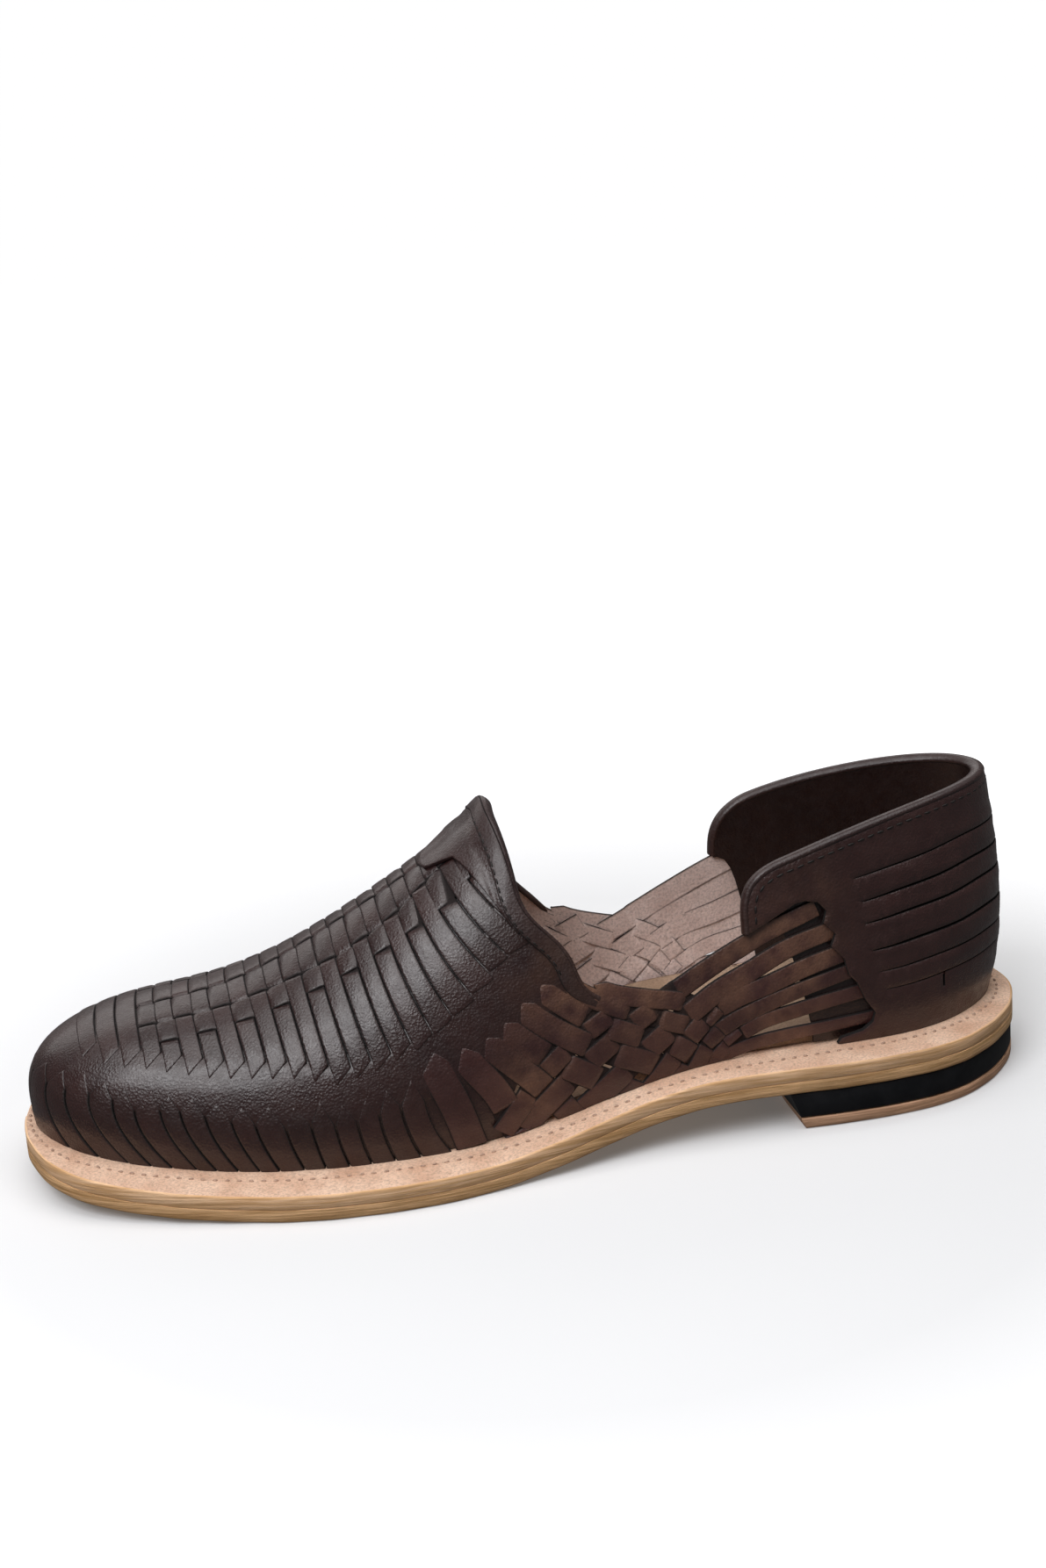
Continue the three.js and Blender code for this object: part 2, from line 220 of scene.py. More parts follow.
def build_search_tree():
    """The wall of the last as triangles, closed at the ridge, in a tree that is quick to search."""
    around = np.arange(TREE_AROUND) * RING / TREE_AROUND
    u, v = np.meshgrid(around, np.linspace(0, 1, TREE_UP + 1), indexing="ij")
    places = last_point(u, v).reshape(-1, 3)
    normals = last_normal(u, v).reshape(-1, 3)
    k, j = np.meshgrid(np.arange(TREE_AROUND), np.arange(TREE_UP), indexing="ij")
    a = k * (TREE_UP + 1) + j
    b = ((k + 1) % TREE_AROUND) * (TREE_UP + 1) + j
    wall = [np.stack([a, a + 1, b], -1), np.stack([b, a + 1, b + 1], -1)]
    top = np.arange(TREE_AROUND // 2)
    left = top * (TREE_UP + 1) + TREE_UP
    left_next = (top + 1) * (TREE_UP + 1) + TREE_UP
    right = ((TREE_AROUND - top) % TREE_AROUND) * (TREE_UP + 1) + TREE_UP
    right_next = (TREE_AROUND - top - 1) * (TREE_UP + 1) + TREE_UP
    lid = [np.stack([left, left_next, right], -1), np.stack([left_next, right_next, right], -1)]
    faces = np.concatenate([np.concatenate(wall).reshape(-1, 3), *lid])
    return BVHTree.FromPolygons(places.tolist(), faces.tolist()), places, normals, faces


TREE, TREE_PLACES, TREE_NORMALS, TREE_FACES = build_search_tree()
TREE_CORNERS = [Vector(p) for p in TREE_PLACES]
print("search tree holds", len(TREE_FACES), "faces")


# %% Places and normals
def nearest(point):
    """The place on the last that is nearest to a point, and the smooth normal there."""
    place, _, face, _ = TREE.find_nearest(Vector(point))
    corners = TREE_FACES[face]
    weights = poly_3d_calc([TREE_CORNERS[c] for c in corners], place)
    normal = sum(w * TREE_NORMALS[c] for w, c in zip(weights, corners))
    return np.array(place), normal / np.linalg.norm(normal)


def ring_place(point):
    """Ring coordinates (u, v) of the place on the last that is nearest to a point."""
    place, _, face, _ = TREE.find_nearest(Vector(point))
    corners = TREE_FACES[face]
    weights = poly_3d_calc([TREE_CORNERS[c] for c in corners], place)
    around = [c // (TREE_UP + 1) for c in corners]
    around = [k + TREE_AROUND if max(around) - k > TREE_AROUND // 2 else k for k in around]
    u = sum(w * k for w, k in zip(weights, around)) * RING / TREE_AROUND
    v = sum(w * (c % (TREE_UP + 1)) for w, c in zip(weights, corners)) / TREE_UP
    return u, v


def cast(start, way):
    """Where a ray from inside the last goes out of it."""
    place = TREE.ray_cast(Vector(start), Vector(way).normalized())[0]
    return np.array(place) if place else nearest(start)[0]


def table(points, x):
    """The second column of a short table at x, read between its rows."""
    return np.interp(x, points[:, 0], points[:, 1])


MIDDLE = np.array([(0, 1.5), (60, 1.5), (140, 2.0), (200, -2.5), (235, -4.0), (268, -4.0)])


def middle_y(x):
    return float(table(MIDDLE, x))


def from_side(side, x, z):
    """The place on one wall that a side view shows at (x, z). side is +1 lateral, -1 medial."""
    return cast((x, middle_y(x), z), (0, side, 0))


def from_above(x, y):
    return cast((x, y, FLOOR_OF_LAST_Z), (0, 0, 1))


def from_axis(x, angle):
    """The place that an arm at this angle from upright, on a long axis in the last, points to."""
    return cast((x, middle_y(x), AXIS_Z), (0, math.sin(angle), math.cos(angle)))


print("the vamp's ridge at x = 200 is", round(float(from_above(200, -3)[2]), 1), "mm high")

# %% [markdown]
# ## Leather as solid strips and sheets
# A leather strip has a top that is slightly domed and rounded at its cut edges, and a flat flesh
# side. A curve with a bevel profile could draw it, but its section would twist where the last
# bends two ways. The helper therefore takes the two edges of a strip as points on the last, and
# a lift for every station: high where the strip passes over another one, low where it dives
# under. A sheet is made the same way from a grid of points. Both are closed solids.

# %% Bundle of solids that become one mesh
TOP_SIDE, FLESH_SIDE = 0, 1
SHARP_ANGLE = math.radians(50)
MERGE_DISTANCE = 1e-7
# Where the leather is burnished brown: x, z and radius of each patch in the side view
WARM_SPOTS = ((112, 44, 16), (128, 50, 14), (80, 45, 16), (63, 46, 10), (64, 62, 9),
              (140, 22, 9), (70, 24, 9))


def warmth(points):
    """How burnished brown the leather is at each point, from 0 to 1."""
    glow = np.zeros(len(points))
    for x, z, radius in WARM_SPOTS:
        away = ((points[:, 0] - x) ** 2 + (points[:, 2] - z) ** 2) / radius**2
        glow += np.exp(-away)
    return np.clip(glow, 0, 1)


class Bundle:
    """Collects solids, each as points, faces and one material number for each face."""

    def __init__(self):
        self.points, self.faces, self.slots, self.across, self.tint = [], [], [], [], []
        self.count = 0

    def add(self, points, faces, slots, across=None, tint=0.5):
        """across says how near each point is to a cut edge or how deep it dives, which the materials paint
        as shade; tint how light the solid is.
        """
        points = np.asarray(points, float)
        self.points.append(points)
        self.faces += [[i + self.count for i in face] for face in faces]
        self.slots += slots
        self.across.append(np.zeros(len(points)) if across is None else across)
        self.tint.append(np.full(len(points), tint))
        self.count += len(points)

    def build(self, name, materials, replaces=()):
        points = np.concatenate(self.points)
        mesh = bpy.data.meshes.new(name)
        mesh.from_pydata(((points - SHIFT) / 1000).tolist(), [], self.faces)
        values = {"across": self.across, "tint": self.tint, "warm": [warmth(points)]}
        for key, parts in values.items():
            attribute_layer = mesh.attributes.new(key, "FLOAT", "POINT")
            attribute_layer.data.foreach_set("value", np.concatenate(parts).astype(np.float32))
        for material in materials:
            mesh.materials.append(material)
        mesh.polygons.foreach_set("material_index", self.slots)
        work = bmesh.new()
        work.from_mesh(mesh)
        bmesh.ops.remove_doubles(work, verts=work.verts, dist=MERGE_DISTANCE)
        bmesh.ops.dissolve_degenerate(work, edges=work.edges, dist=MERGE_DISTANCE)
        bmesh.ops.recalc_face_normals(work, faces=work.faces)
        work.to_mesh(mesh)
        work.free()
        mesh.shade_smooth()
        mesh.set_sharp_from_angle(angle=SHARP_ANGLE)
        piece = bpy.data.objects.new(name, mesh)
        bpy.context.scene.collection.objects.link(piece)
        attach(piece, "root")
        if replaces:
            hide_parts(*replaces)
        print(name, "has", len(mesh.polygons), "faces")
        return piece


print("warm patches:", len(WARM_SPOTS))

# %% Strips
LEATHER = 0.85
OVER, UNDER = 0.27, -0.37
# The section of a strip: how far across each point lies, and how far it falls below the top
CUTS_ACROSS = (0.0, 0.04, 0.12, 0.5, 0.88, 0.96, 1.0)
EDGE_DROPS = (0.26, 0.06, 0.0, -0.05, 0.0, 0.06, 0.26)
UNDERSIDE_CUTS = (-1, 3, 0)
# Painted shade: a strip's top is painted nearly black where it dives under another; at most this dark, and
# fully so at this depth
DARKEST_DIVE_SHADE, DIVE_SHADE_DEPTH = 0.96, 0.16


def ramp(x, start, end):
    """0 before start, 1 after end, and a smooth slope between them."""
    s = np.clip((x - start) / (end - start), 0, 1)
    return s * s * (3 - 2 * s)


def plateau(x, start, end, outside, inside):
    """1 between start and end, with a short smooth slope across each of them."""
    rise = ramp(x, start - outside, start + inside)
    return rise * (1 - ramp(x, end - inside, end + outside))


def path_reach(path):
    """How far along a path each of its points lies."""
    return np.concatenate([[0], np.cumsum(np.linalg.norm(np.diff(path, axis=0), axis=1))])


def tube_faces(rows, width):
    """Faces of a closed tube: the wall from section to section, then both ends."""
    faces = []
    for k in range(rows - 1):
        for j in range(width):
            a, b = k * width + j, k * width + (j + 1) % width
            faces.append([a, b, b + width, a + width])
    return faces + [list(range(width)), [(rows - 1) * width + j for j in range(width)]]


def strip(bundle, left, right, lift, tint=0.5, thickness=LEATHER):
    """A closed strip between two edges on the last, lifted along the last's normal."""
    left, right = np.asarray(left), np.asarray(right)
    lift = np.broadcast_to(np.asarray(lift, float), (len(left),))
    rows = []
    for a, b, height in zip(left, right, lift):
        hits = [nearest(a + (b - a) * c) for c in CUTS_ACROSS]
        top = [p + n * (height - drop) for (p, n), drop in zip(hits, EDGE_DROPS)]
        low = [hits[k][0] + hits[k][1] * (height - thickness) for k in UNDERSIDE_CUTS]
        rows.append(top + low)
    tops = len(CUTS_ACROSS)
    faces = tube_faces(len(rows), len(rows[0]))
    slots = [TOP_SIDE] * tops + [FLESH_SIDE, FLESH_SIDE, TOP_SIDE]
    slots = slots * (len(rows) - 1) + [TOP_SIDE, TOP_SIDE]
    across = np.tile([abs(2 * c - 1) for c in CUTS_ACROSS] + [1, 0, 1], (len(rows), 1))
    # Painted shade: the part of the top that dives under another strip is marked for the dark colour
    dive_shade = DARKEST_DIVE_SHADE * ramp(-lift, 0.0, DIVE_SHADE_DEPTH)
    across[:, :tops] = np.maximum(across[:, :tops], dive_shade[:, None])
    bundle.add(np.array(rows).reshape(-1, 3), faces, slots, across.ravel(), tint)


print("a strip is", LEATHER, "mm thick and has", len(CUTS_ACROSS), "points across its top")

# %% Sheets
def shell(bundle, outer, inner, faces, across):
    """Two copies of one net of faces, closed into a solid by a wall along every free edge."""
    sides = dict.fromkeys((a, b) for face in faces for a, b in zip(face, face[1:] + face[:1]))
    rim = [(a, b) for a, b in sides if (b, a) not in sides]
    total = len(outer)
    solid = faces + [[i + total for i in reversed(face)] for face in faces]
    solid += [[b, a, a + total, b + total] for a, b in rim]
    slots = [TOP_SIDE] * len(faces) + [FLESH_SIDE] * len(faces) + [TOP_SIDE] * len(rim)
    used = sorted({i for face in solid for i in face})
    renumber = {old: new for new, old in enumerate(used)}
    points = np.concatenate([outer, inner])[used]
    bundle.add(points, [[renumber[i] for i in face] for face in solid], slots, across[used])


def sheet(bundle, outer, inner):
    """A closed sheet from two grids of points: its outer and its inner face."""
    rows, columns = outer.shape[:2]
    faces = []
    for r in range(rows - 1):
        for c in range(columns - 1):
            a = r * columns + c
            faces.append([a, a + 1, a + 1 + columns, a + columns])
    # The border is flagged so that the materials paint shade along the sheet's cut edges
    border = np.zeros((2, rows, columns))
    border[0, [0, -1]] = 1
    border[0][:, [0, -1]] = 1
    shell(bundle, outer.reshape(-1, 3), inner.reshape(-1, 3), faces, border.ravel())


print("a sheet has a wall along each of its free edges")

# %% [markdown]
# ## Materials
# The upper is dark brown waxed leather, the flange and the flesh sides are raw leather, the
# heel lift is rubber. Painted textures could give their grain, but noise and Voronoi nodes stay
# sharp at any distance and need no seams. All patterns read Object coordinates in metres, so a
# scale of 1000 gives features of about a millimetre. Attributes carry what only the mesh knows:
# the distance to a cut edge and how deep a strip dives, which the leathers turn into painted
# shade, the strip's tint and the burnished patches.

# %% Material helpers
def new_material(name, roughness):
    material = bpy.data.materials.new(name)
    material.use_nodes = True
    shader = material.node_tree.nodes["Principled BSDF"]
    shader.inputs["Roughness"].default_value = roughness
    return material, material.node_tree, shader


def add_node(tree, kind, **settings):
    """A new node, with its sockets or its own settings filled in by name."""
    node = tree.nodes.new(kind)
    for key, value in settings.items():
        if key in node.inputs:
            node.inputs[key].default_value = value
        else:
            setattr(node, key, value)
    return node


def noise(tree, scale, detail=4.0, roughness=0.55, stretch=None):
    """A noise pattern on Object coordinates, optionally stretched along x, y or z."""
    source = add_node(tree, "ShaderNodeTexCoord").outputs["Object"]
    if stretch:
        mapping = add_node(tree, "ShaderNodeMapping", Scale=stretch)
        tree.links.new(source, mapping.inputs["Vector"])
        source = mapping.outputs["Vector"]
    node = add_node(tree, "ShaderNodeTexNoise", Scale=scale, Detail=detail, Roughness=roughness)
    tree.links.new(source, node.inputs["Vector"])
    return node.outputs["Fac"]


def cells(tree, scale):
    """Small rounded cells, like the grain of leather."""
    place = add_node(tree, "ShaderNodeTexCoord")
    node = add_node(tree, "ShaderNodeTexVoronoi", Scale=scale)
    tree.links.new(place.outputs["Object"], node.inputs["Vector"])
    return node.outputs["Distance"]


def mapped(tree, source, low, high, from_low=0.0, from_high=1.0):
    """A value mapped from one range to another, and held at the ends of it."""
    node = add_node(tree, "ShaderNodeMapRange")
    names = ("From Min", "From Max", "To Min", "To Max")
    for key, value in zip(names, (from_low, from_high, low, high)):
        node.inputs[key].default_value = value
    tree.links.new(source, node.inputs["Value"])
    return node.outputs["Result"]


def joined(tree, operation, first, second):
    """Two values joined by one step of arithmetic."""
    node = add_node(tree, "ShaderNodeMath", operation=operation)
    tree.links.new(first, node.inputs[0])
    tree.links.new(second, node.inputs[1])
    return node.outputs[0]


def mixed(tree, factor, first, second, blend="MIX"):
    """Mixes two colours, each a tuple or a socket."""
    node = add_node(tree, "ShaderNodeMix", data_type="RGBA", blend_type=blend)
    for socket, value in zip((node.inputs[0], node.inputs[6], node.inputs[7]), (factor, first, second)):
        if isinstance(value, tuple):
            socket.default_value = (*value, 1.0)
        elif isinstance(value, float):
            socket.default_value = value
        else:
            tree.links.new(value, socket)
    return node.outputs[2]


def bumped(tree, shader, layers):
    """Stacks bump layers (height socket, strength, distance in metres) on the shader."""
    last = None
    for height, strength, distance in layers:
        node = add_node(tree, "ShaderNodeBump", Strength=strength, Distance=distance)
        tree.links.new(height, node.inputs["Height"])
        if last:
            tree.links.new(last, node.inputs["Normal"])
        last = node.outputs["Normal"]
    tree.links.new(last, shader.inputs["Normal"])


def attribute(tree, name):
    return add_node(tree, "ShaderNodeAttribute", attribute_name=name).outputs["Fac"]


def deeper(colour, share):
    return tuple(c * share for c in colour)


print("patterns are drawn by noise and cells on Object coordinates")

# %% [markdown]
# ### Dark waxed leather
# The colour is nearly even, and the life comes from a fine grain, a soft uneven shine and warm
# burnished patches at the waist. A coat gives the wax its shine. Where a strip is cut or dives
# under another, the coat ends and the colour is painted nearly black, as painted shade for the
# crevices between the strips.

# %% Dark waxed leather
DARK_BROWN, LIGHT_BROWN = (0.0200, 0.0058, 0.0054), (0.0330, 0.0118, 0.0102)
# Painted shade: the nearly black colour of cut edges and diving strips
PAINTED_SHADE_BLACK = (0.003, 0.0015, 0.0012)
BURNISHED = (0.100, 0.046, 0.027)
EDGE_START, EDGE_END = 0.86, 0.98


def dark_leather(name, gloss, warm_share, depth=1.0, burnish=BURNISHED):
    """gloss is the roughness of the wax; depth above 1 makes the brown lighter."""
    material, tree, shader = new_material(name, gloss)
    mottle = mapped(tree, noise(tree, 90), 0, 1, 0.35, 0.7)
    colour = mixed(tree, mottle, deeper(DARK_BROWN, depth), deeper(LIGHT_BROWN, depth))
    tint = mapped(tree, attribute(tree, "tint"), 0.78, 1.22)
    colour = mixed(tree, 1.0, colour, tint, "MULTIPLY")
    patches = mapped(tree, noise(tree, 110), 0, warm_share, 0.34, 0.74)
    colour = mixed(tree, joined(tree, "MULTIPLY", attribute(tree, "warm"), patches), colour, burnish)
    across = attribute(tree, "across")
    # Painted shade: nearly black near cut edges and where a strip dives under another
    colour = mixed(tree, mapped(tree, across, 0.0, 0.95, EDGE_START, EDGE_END), colour, PAINTED_SHADE_BLACK)
    tree.links.new(colour, shader.inputs["Base Color"])
    tree.links.new(mapped(tree, across, 0.3, 0.0, 0.82, 0.94), shader.inputs["Coat Weight"])
    shine = mapped(tree, noise(tree, 400, 6), gloss - 0.08, gloss + 0.12, 0.32, 0.68)
    dull_edge = mapped(tree, across, 0.0, 0.95, EDGE_START, 0.96)
    tree.links.new(joined(tree, "MAXIMUM", shine, dull_edge), shader.inputs["Roughness"])
    shader.inputs["Specular IOR Level"].default_value = 0.55
    shader.inputs["Coat Roughness"].default_value = 0.2
    grain = (cells(tree, 1500), 0.7, 0.00016)
    pores = (noise(tree, 2400, 3), 0.8, 0.00010)
    creases = (noise(tree, 420, 5), 0.35, 0.00030)
    bumped(tree, shader, [grain, pores, creases])
    return material


DARK = dark_leather("dark_leather", 0.36, 0.6)
STRAP = dark_leather("strap_leather", 0.40, 1.0, depth=2.0, burnish=(0.220, 0.108, 0.064))
COUNTER = dark_leather("counter_leather", 0.40, 0.5, depth=1.4)
LINING = dark_leather("lining_leather", 0.46, 0.0, depth=0.6)
print("dark leathers:", [m.name for m in (DARK, STRAP, COUNTER, LINING)])

# %% [markdown]
# ### Raw leather and sanded edges
# The flesh side and the flange are unfinished: pale, dull and full of short fibres. A little
# sheen stands for the fibres, which would be far too many to model. The sole's edge is sanded,
# so its fibres and lines run along the sole; a noise that is squeezed in height draws them.

# %% Flesh side, flange and sole edges
def flesh_leather(name, pale, deep, fuzz):
    """Raw leather: patches of two colours, small dark specks and a rough nap."""
    material, tree, shader = new_material(name, 0.88)
    patch = mapped(tree, noise(tree, 110, 5), 0, 1, 0.35, 0.7)
    speck = mapped(tree, noise(tree, 1500, 3), 0, 1, 0.42, 0.72)
    colour = mixed(tree, patch, pale, deep)
    colour = mixed(tree, mapped(tree, speck, 0, 0.6), colour, deeper(deep, 0.5))
    # Painted shade: the flesh side darkens towards its cut edges, where the gaps between strips lie in
    # shade
    edge = mapped(tree, attribute(tree, "across"), 0.0, 0.8, 0.86, 1.0)
    colour = mixed(tree, edge, colour, (0.05, 0.028, 0.020))
    tree.links.new(colour, shader.inputs["Base Color"])
    shader.inputs["Specular IOR Level"].default_value = 0.25
    shader.inputs["Sheen Weight"].default_value = 0.15
    nap = (noise(tree, 1300, 4), fuzz, 0.00025)
    bumped(tree, shader, [nap, (noise(tree, 300, 5), 0.4, 0.0004)])
    return material


def cut_edge(name, pale, deep):
    """A sanded edge: fibres and sanding lines run along the sole."""
    material, tree, shader = new_material(name, 0.62)
    lines = mapped(tree, noise(tree, 55, 6, 0.6, stretch=(1.0, 1.0, 26.0)), 0, 1, 0.40, 0.60)
    colour = mixed(tree, lines, pale, deep)
    stain = mapped(tree, noise(tree, 38, 4), 0, 0.5, 0.48, 0.7)
    colour = mixed(tree, stain, colour, deeper(deep, 0.62))
    tree.links.new(colour, shader.inputs["Base Color"])
    scratches = (noise(tree, 60, 6, 0.65, stretch=(1.0, 1.0, 30.0)), 0.8, 0.00045)
    bumped(tree, shader, [scratches, (noise(tree, 1200, 3), 0.25, 0.0001)])
    return material


FLESH = flesh_leather("flesh_side", (0.92, 0.735, 0.675), (0.74, 0.555, 0.50), 0.7)
FLANGE_TOP = flesh_leather("flange_leather", (0.93, 0.65, 0.48), (0.71, 0.42, 0.28), 1.0)
MIDSOLE_EDGE = cut_edge("midsole_edge", (0.95, 0.61, 0.36), (0.72, 0.41, 0.19))
OUTSOLE_EDGE = cut_edge("outsole_edge", (0.86, 0.52, 0.26), (0.54, 0.295, 0.12))
TOP_PIECE_EDGE = cut_edge("top_piece_edge", (0.76, 0.44, 0.27), (0.47, 0.255, 0.145))
print("raw leathers:", [m.name for m in (FLESH, FLANGE_TOP, MIDSOLE_EDGE, OUTSOLE_EDGE, TOP_PIECE_EDGE)])

# %% [markdown]
# ### Rubber and thread
# The heel lift is black rubber with a little dust on it. The threads are twisted and waxed; a
# stitch is too small to show its plies, so a fine bump is enough.

# %% Rubber and thread
def black_rubber():
    material, tree, shader = new_material("black_rubber", 0.62)
    shader.inputs["Specular IOR Level"].default_value = 0.25
    dust = mapped(tree, noise(tree, 180, 5), 0, 1, 0.4, 0.75)
    colour = mixed(tree, dust, (0.0045, 0.0045, 0.006), (0.012, 0.012, 0.014))
    tree.links.new(colour, shader.inputs["Base Color"])
    bumped(tree, shader, [(noise(tree, 900, 3), 0.2, 0.0001)])
    return material


def waxed_thread(name, colour):
    material, tree, shader = new_material(name, 0.6)
    twist = mapped(tree, noise(tree, 1800, 2), 0, 1, 0.35, 0.65)
    tree.links.new(mixed(tree, twist, colour, deeper(colour, 0.6)), shader.inputs["Base Color"])
    bumped(tree, shader, [(noise(tree, 2200, 2), 0.5, 0.0001)])
    return material


RUBBER = black_rubber()
PALE_THREAD = waxed_thread("pale_thread", (0.56, 0.36, 0.26))
DARK_THREAD = waxed_thread("dark_thread", (0.012, 0.007, 0.006))
print("materials so far:", len(bpy.data.materials))

# %% [markdown]
# ## Sole and heel
# The outsole and the midsole are two flat hides cut to one outline and sanded together, so
# their edges show as two bands with a thin line between them. The flange that stands out from
# the upper carries the stitches that hold the shoe together. The heel is a black lift on a thin
# leather top piece, with a breast that leans back on its way down. Each layer could be extruded
# from its outline, but it has to bend with the arch and the toe spring. It is therefore drawn
# as a tube: section after section, from the back of the heel to the toe.

# %% Outline and edge of a layer
RUNGS = 200
# From under the upper to the edge: share of the flange, step back from the edge, rounding in height
EDGE_PROFILE = [(-0.25, 0, 0), (0, 0, 0), (0.3, 0, 0), (0.6, 0, 0), (0.85, 0, 0),
                (1, 0.55, 0.03), (1, 0.16, 0.16), (1, 0, 0.5)]
EDGE_POINTS = 3
BETWEEN = (0.2, 0.4, 0.6, 0.8)
TIGHT = 0.3  # where two layers meet, their edges are sanded flush and hardly rounded
HEEL_FRONT, HEEL_UNDERCUT = 74, 4
half_ring_u = np.linspace(0, LAST_RIB, 401)
half_ring_x = rib(half_ring_u)[:, X]


def ring_reach(height, heel):
    """How far round the ring a surface goes: to the toe, or to the heel's leaning breast."""
    if not heel:
        return LAST_RIB
    breast = HEEL_FRONT - HEEL_UNDERCUT * (1 - height(HEEL_FRONT) / HEEL_RISE)
    return float(np.interp(breast, half_ring_x, half_ring_u))


def edge_points(u, height, rounding, inset, wave):
    """One surface at ring place u, from under the upper out to the edge, sanded by hand."""
    out, place = outward(u)[:2], rib(u)
    wander = wave * (math.sin(6.1 * u + 1) + 0.6 * math.sin(14.7 * u + 2.2)) / 2
    points = []
    for share, back, drop in EDGE_PROFILE:
        cut = back * abs(rounding) + inset + wander if share == 1 else 0
        at = place[[X, Y]] + out * (place[FLANGE] * share - cut)
        points.append([*at, height(at[0]) + drop * rounding])
    return points


def points_between(first, second, height):
    """A few points of a surface across the sole, between its two sides."""
    points = [np.array(first) * (1 - t) + np.array(second) * t for t in BETWEEN]
    return [[x, y, height(x)] for x, y, _ in points]


print("the layers are drawn with", RUNGS, "sections")

# %% Layers of sole and heel
def layer(name, materials, node, low, high, inset=0.0, wave=0.22, heel=False, soft=(1, 1)):
    """One flat layer. soft says how round its lower and its upper edge are."""
    rows = []
    for k in range(RUNGS + 1):
        sides = []
        for height, rounding in ((low, soft[0]), (high, -soft[1])):
            for side in (1, -1):
                u = side * ring_reach(height, heel) * k / RUNGS
                sides.append(edge_points(u, height, rounding, inset, wave))
        low_l, low_m, top_l, top_m = sides
        floor_row = low_l[::-1] + points_between(low_l[0], low_m[0], low) + low_m
        rows.append(top_l + floor_row + top_m[::-1] + points_between(top_m[0], top_l[0], high))
    width, n = len(rows[0]), len(EDGE_PROFILE)
    edge_end = 3 * n + len(BETWEEN) + EDGE_POINTS - 1
    section = [0 if j < n - EDGE_POINTS or j >= edge_end else 1 for j in range(width)]
    bundle = Bundle()
    bundle.add(np.array(rows).reshape(-1, 3), tube_faces(len(rows), width), section * RUNGS + [1, 1])
    return bundle.build(name, materials, (node,))


def midsole_low(x):
    return outsole_top(x) + SHEET_GAP * 0.15


layer("outsole_hide", [OUTSOLE_EDGE, OUTSOLE_EDGE], "outsole",
      underside, outsole_top, soft=(1, TIGHT))
layer("midsole_hide", [FLANGE_TOP, MIDSOLE_EDGE], "midsole",
      midsole_low, bed, inset=0.04, soft=(TIGHT, 1))
layer("heel_block", [RUBBER, RUBBER], "heel_lift",
      lambda x: TOP_PIECE_THICKNESS + SHEET_GAP * 0.6, lambda x: HEEL_RISE - SHEET_GAP * 0.4,
      inset=0.5, wave=0.1, heel=True)
layer("heel_cap", [TOP_PIECE_EDGE, TOP_PIECE_EDGE], "heel_top_piece",
      lambda x: 0.0, lambda x: TOP_PIECE_THICKNESS, inset=0.4, wave=0.1, heel=True)

# %% [markdown]
# ## Insole
# The bed inside the shoe is one piece of natural leather, a little hollow under the foot. It
# hardly shows, so a grid of points between the two feather lines is enough.

# %% Insole
INSOLE_ROWS, INSOLE_COLUMNS = 121, 15
INSOLE_MARGIN = 2.5
HOLLOW, RAISED = 0.9, 0.7
INSOLE = flesh_leather("insole_leather", (0.44, 0.30, 0.21), (0.30, 0.19, 0.12), 0.3)


def insole():
    """The bed inside the shoe, from the heel to the toe."""
    grid = np.zeros((2, INSOLE_ROWS, INSOLE_COLUMNS, 3))
    for k, u in enumerate(np.linspace(0.0, LAST_RIB, INSOLE_ROWS)):
        left, right = [rib(s * u)[[X, Y]] - outward(s * u)[:2] * INSOLE_MARGIN for s in (1, -1)]
        for j, a in enumerate(np.linspace(-1, 1, INSOLE_COLUMNS)):
            at = left * (1 + a) / 2 + right * (1 - a) / 2
            low = bed(at[0]) + SHEET_GAP
            grid[0, k, j] = [*at, low + INSOLE_THICKNESS + RAISED - HOLLOW * (1 - a * a)]
            grid[1, k, j] = [*at, low]
    bundle = Bundle()
    sheet(bundle, grid[0], grid[1])
    return bundle.build("insole_bed", [INSOLE, INSOLE], ("insole",))


insole()

# %% [markdown]
# ## Cut leather shapes
# Where the shoe uses a panel instead of a strip, the panel is cut from a flat outline and laid
# on the last. A Boolean cut would leave ragged edges on a bent sheet. The outline is therefore
# drawn in a flat chart and filled with small triangles; each corner is then placed on the last
# and given the leather's thickness.

# %% Outlines in a flat chart
TINY = 1e-12


def inside(points, loop):
    """Which 2-D points lie inside a closed loop."""
    x, y = points[:, 0:1], points[:, 1:2]
    a, b = loop, np.roll(loop, -1, axis=0)
    crosses = (a[:, 1] > y) != (b[:, 1] > y)
    height = np.where(np.abs(b[:, 1] - a[:, 1]) < TINY, TINY, b[:, 1] - a[:, 1])
    hit = x < (b[:, 0] - a[:, 0]) * (y - a[:, 1]) / height + a[:, 0]
    return (crosses & hit).sum(axis=1) % 2 == 1


def allowed(points, loops):
    """Which 2-D points lie in the first loop and in none of the others."""
    good = inside(points, loops[0])
    for hole in loops[1:]:
        good &= ~inside(points, hole)
    return good


def even_steps(loop, step):
    """A closed loop cut into even steps, corners kept."""
    points = []
    for a, b in zip(loop, np.roll(loop, -1, axis=0)):
        count = max(1, int(np.ceil(np.linalg.norm(b - a) / step)))
        points += [a + (b - a) * k / count for k in range(count)]
    return np.array(points)


def inset_loop(loop, distance):
    """A copy of a closed loop, moved inwards."""
    before, after = np.roll(loop, 1, axis=0), np.roll(loop, -1, axis=0)
    way = after - before
    normal = np.stack([-way[:, 1], way[:, 0]], -1)
    normal /= np.linalg.norm(normal, axis=1, keepdims=True) + TINY
    area = ((loop[:, 0] * after[:, 1]) - (after[:, 0] * loop[:, 1])).sum()
    return loop + normal * distance * (1 if area > 0 else -1)


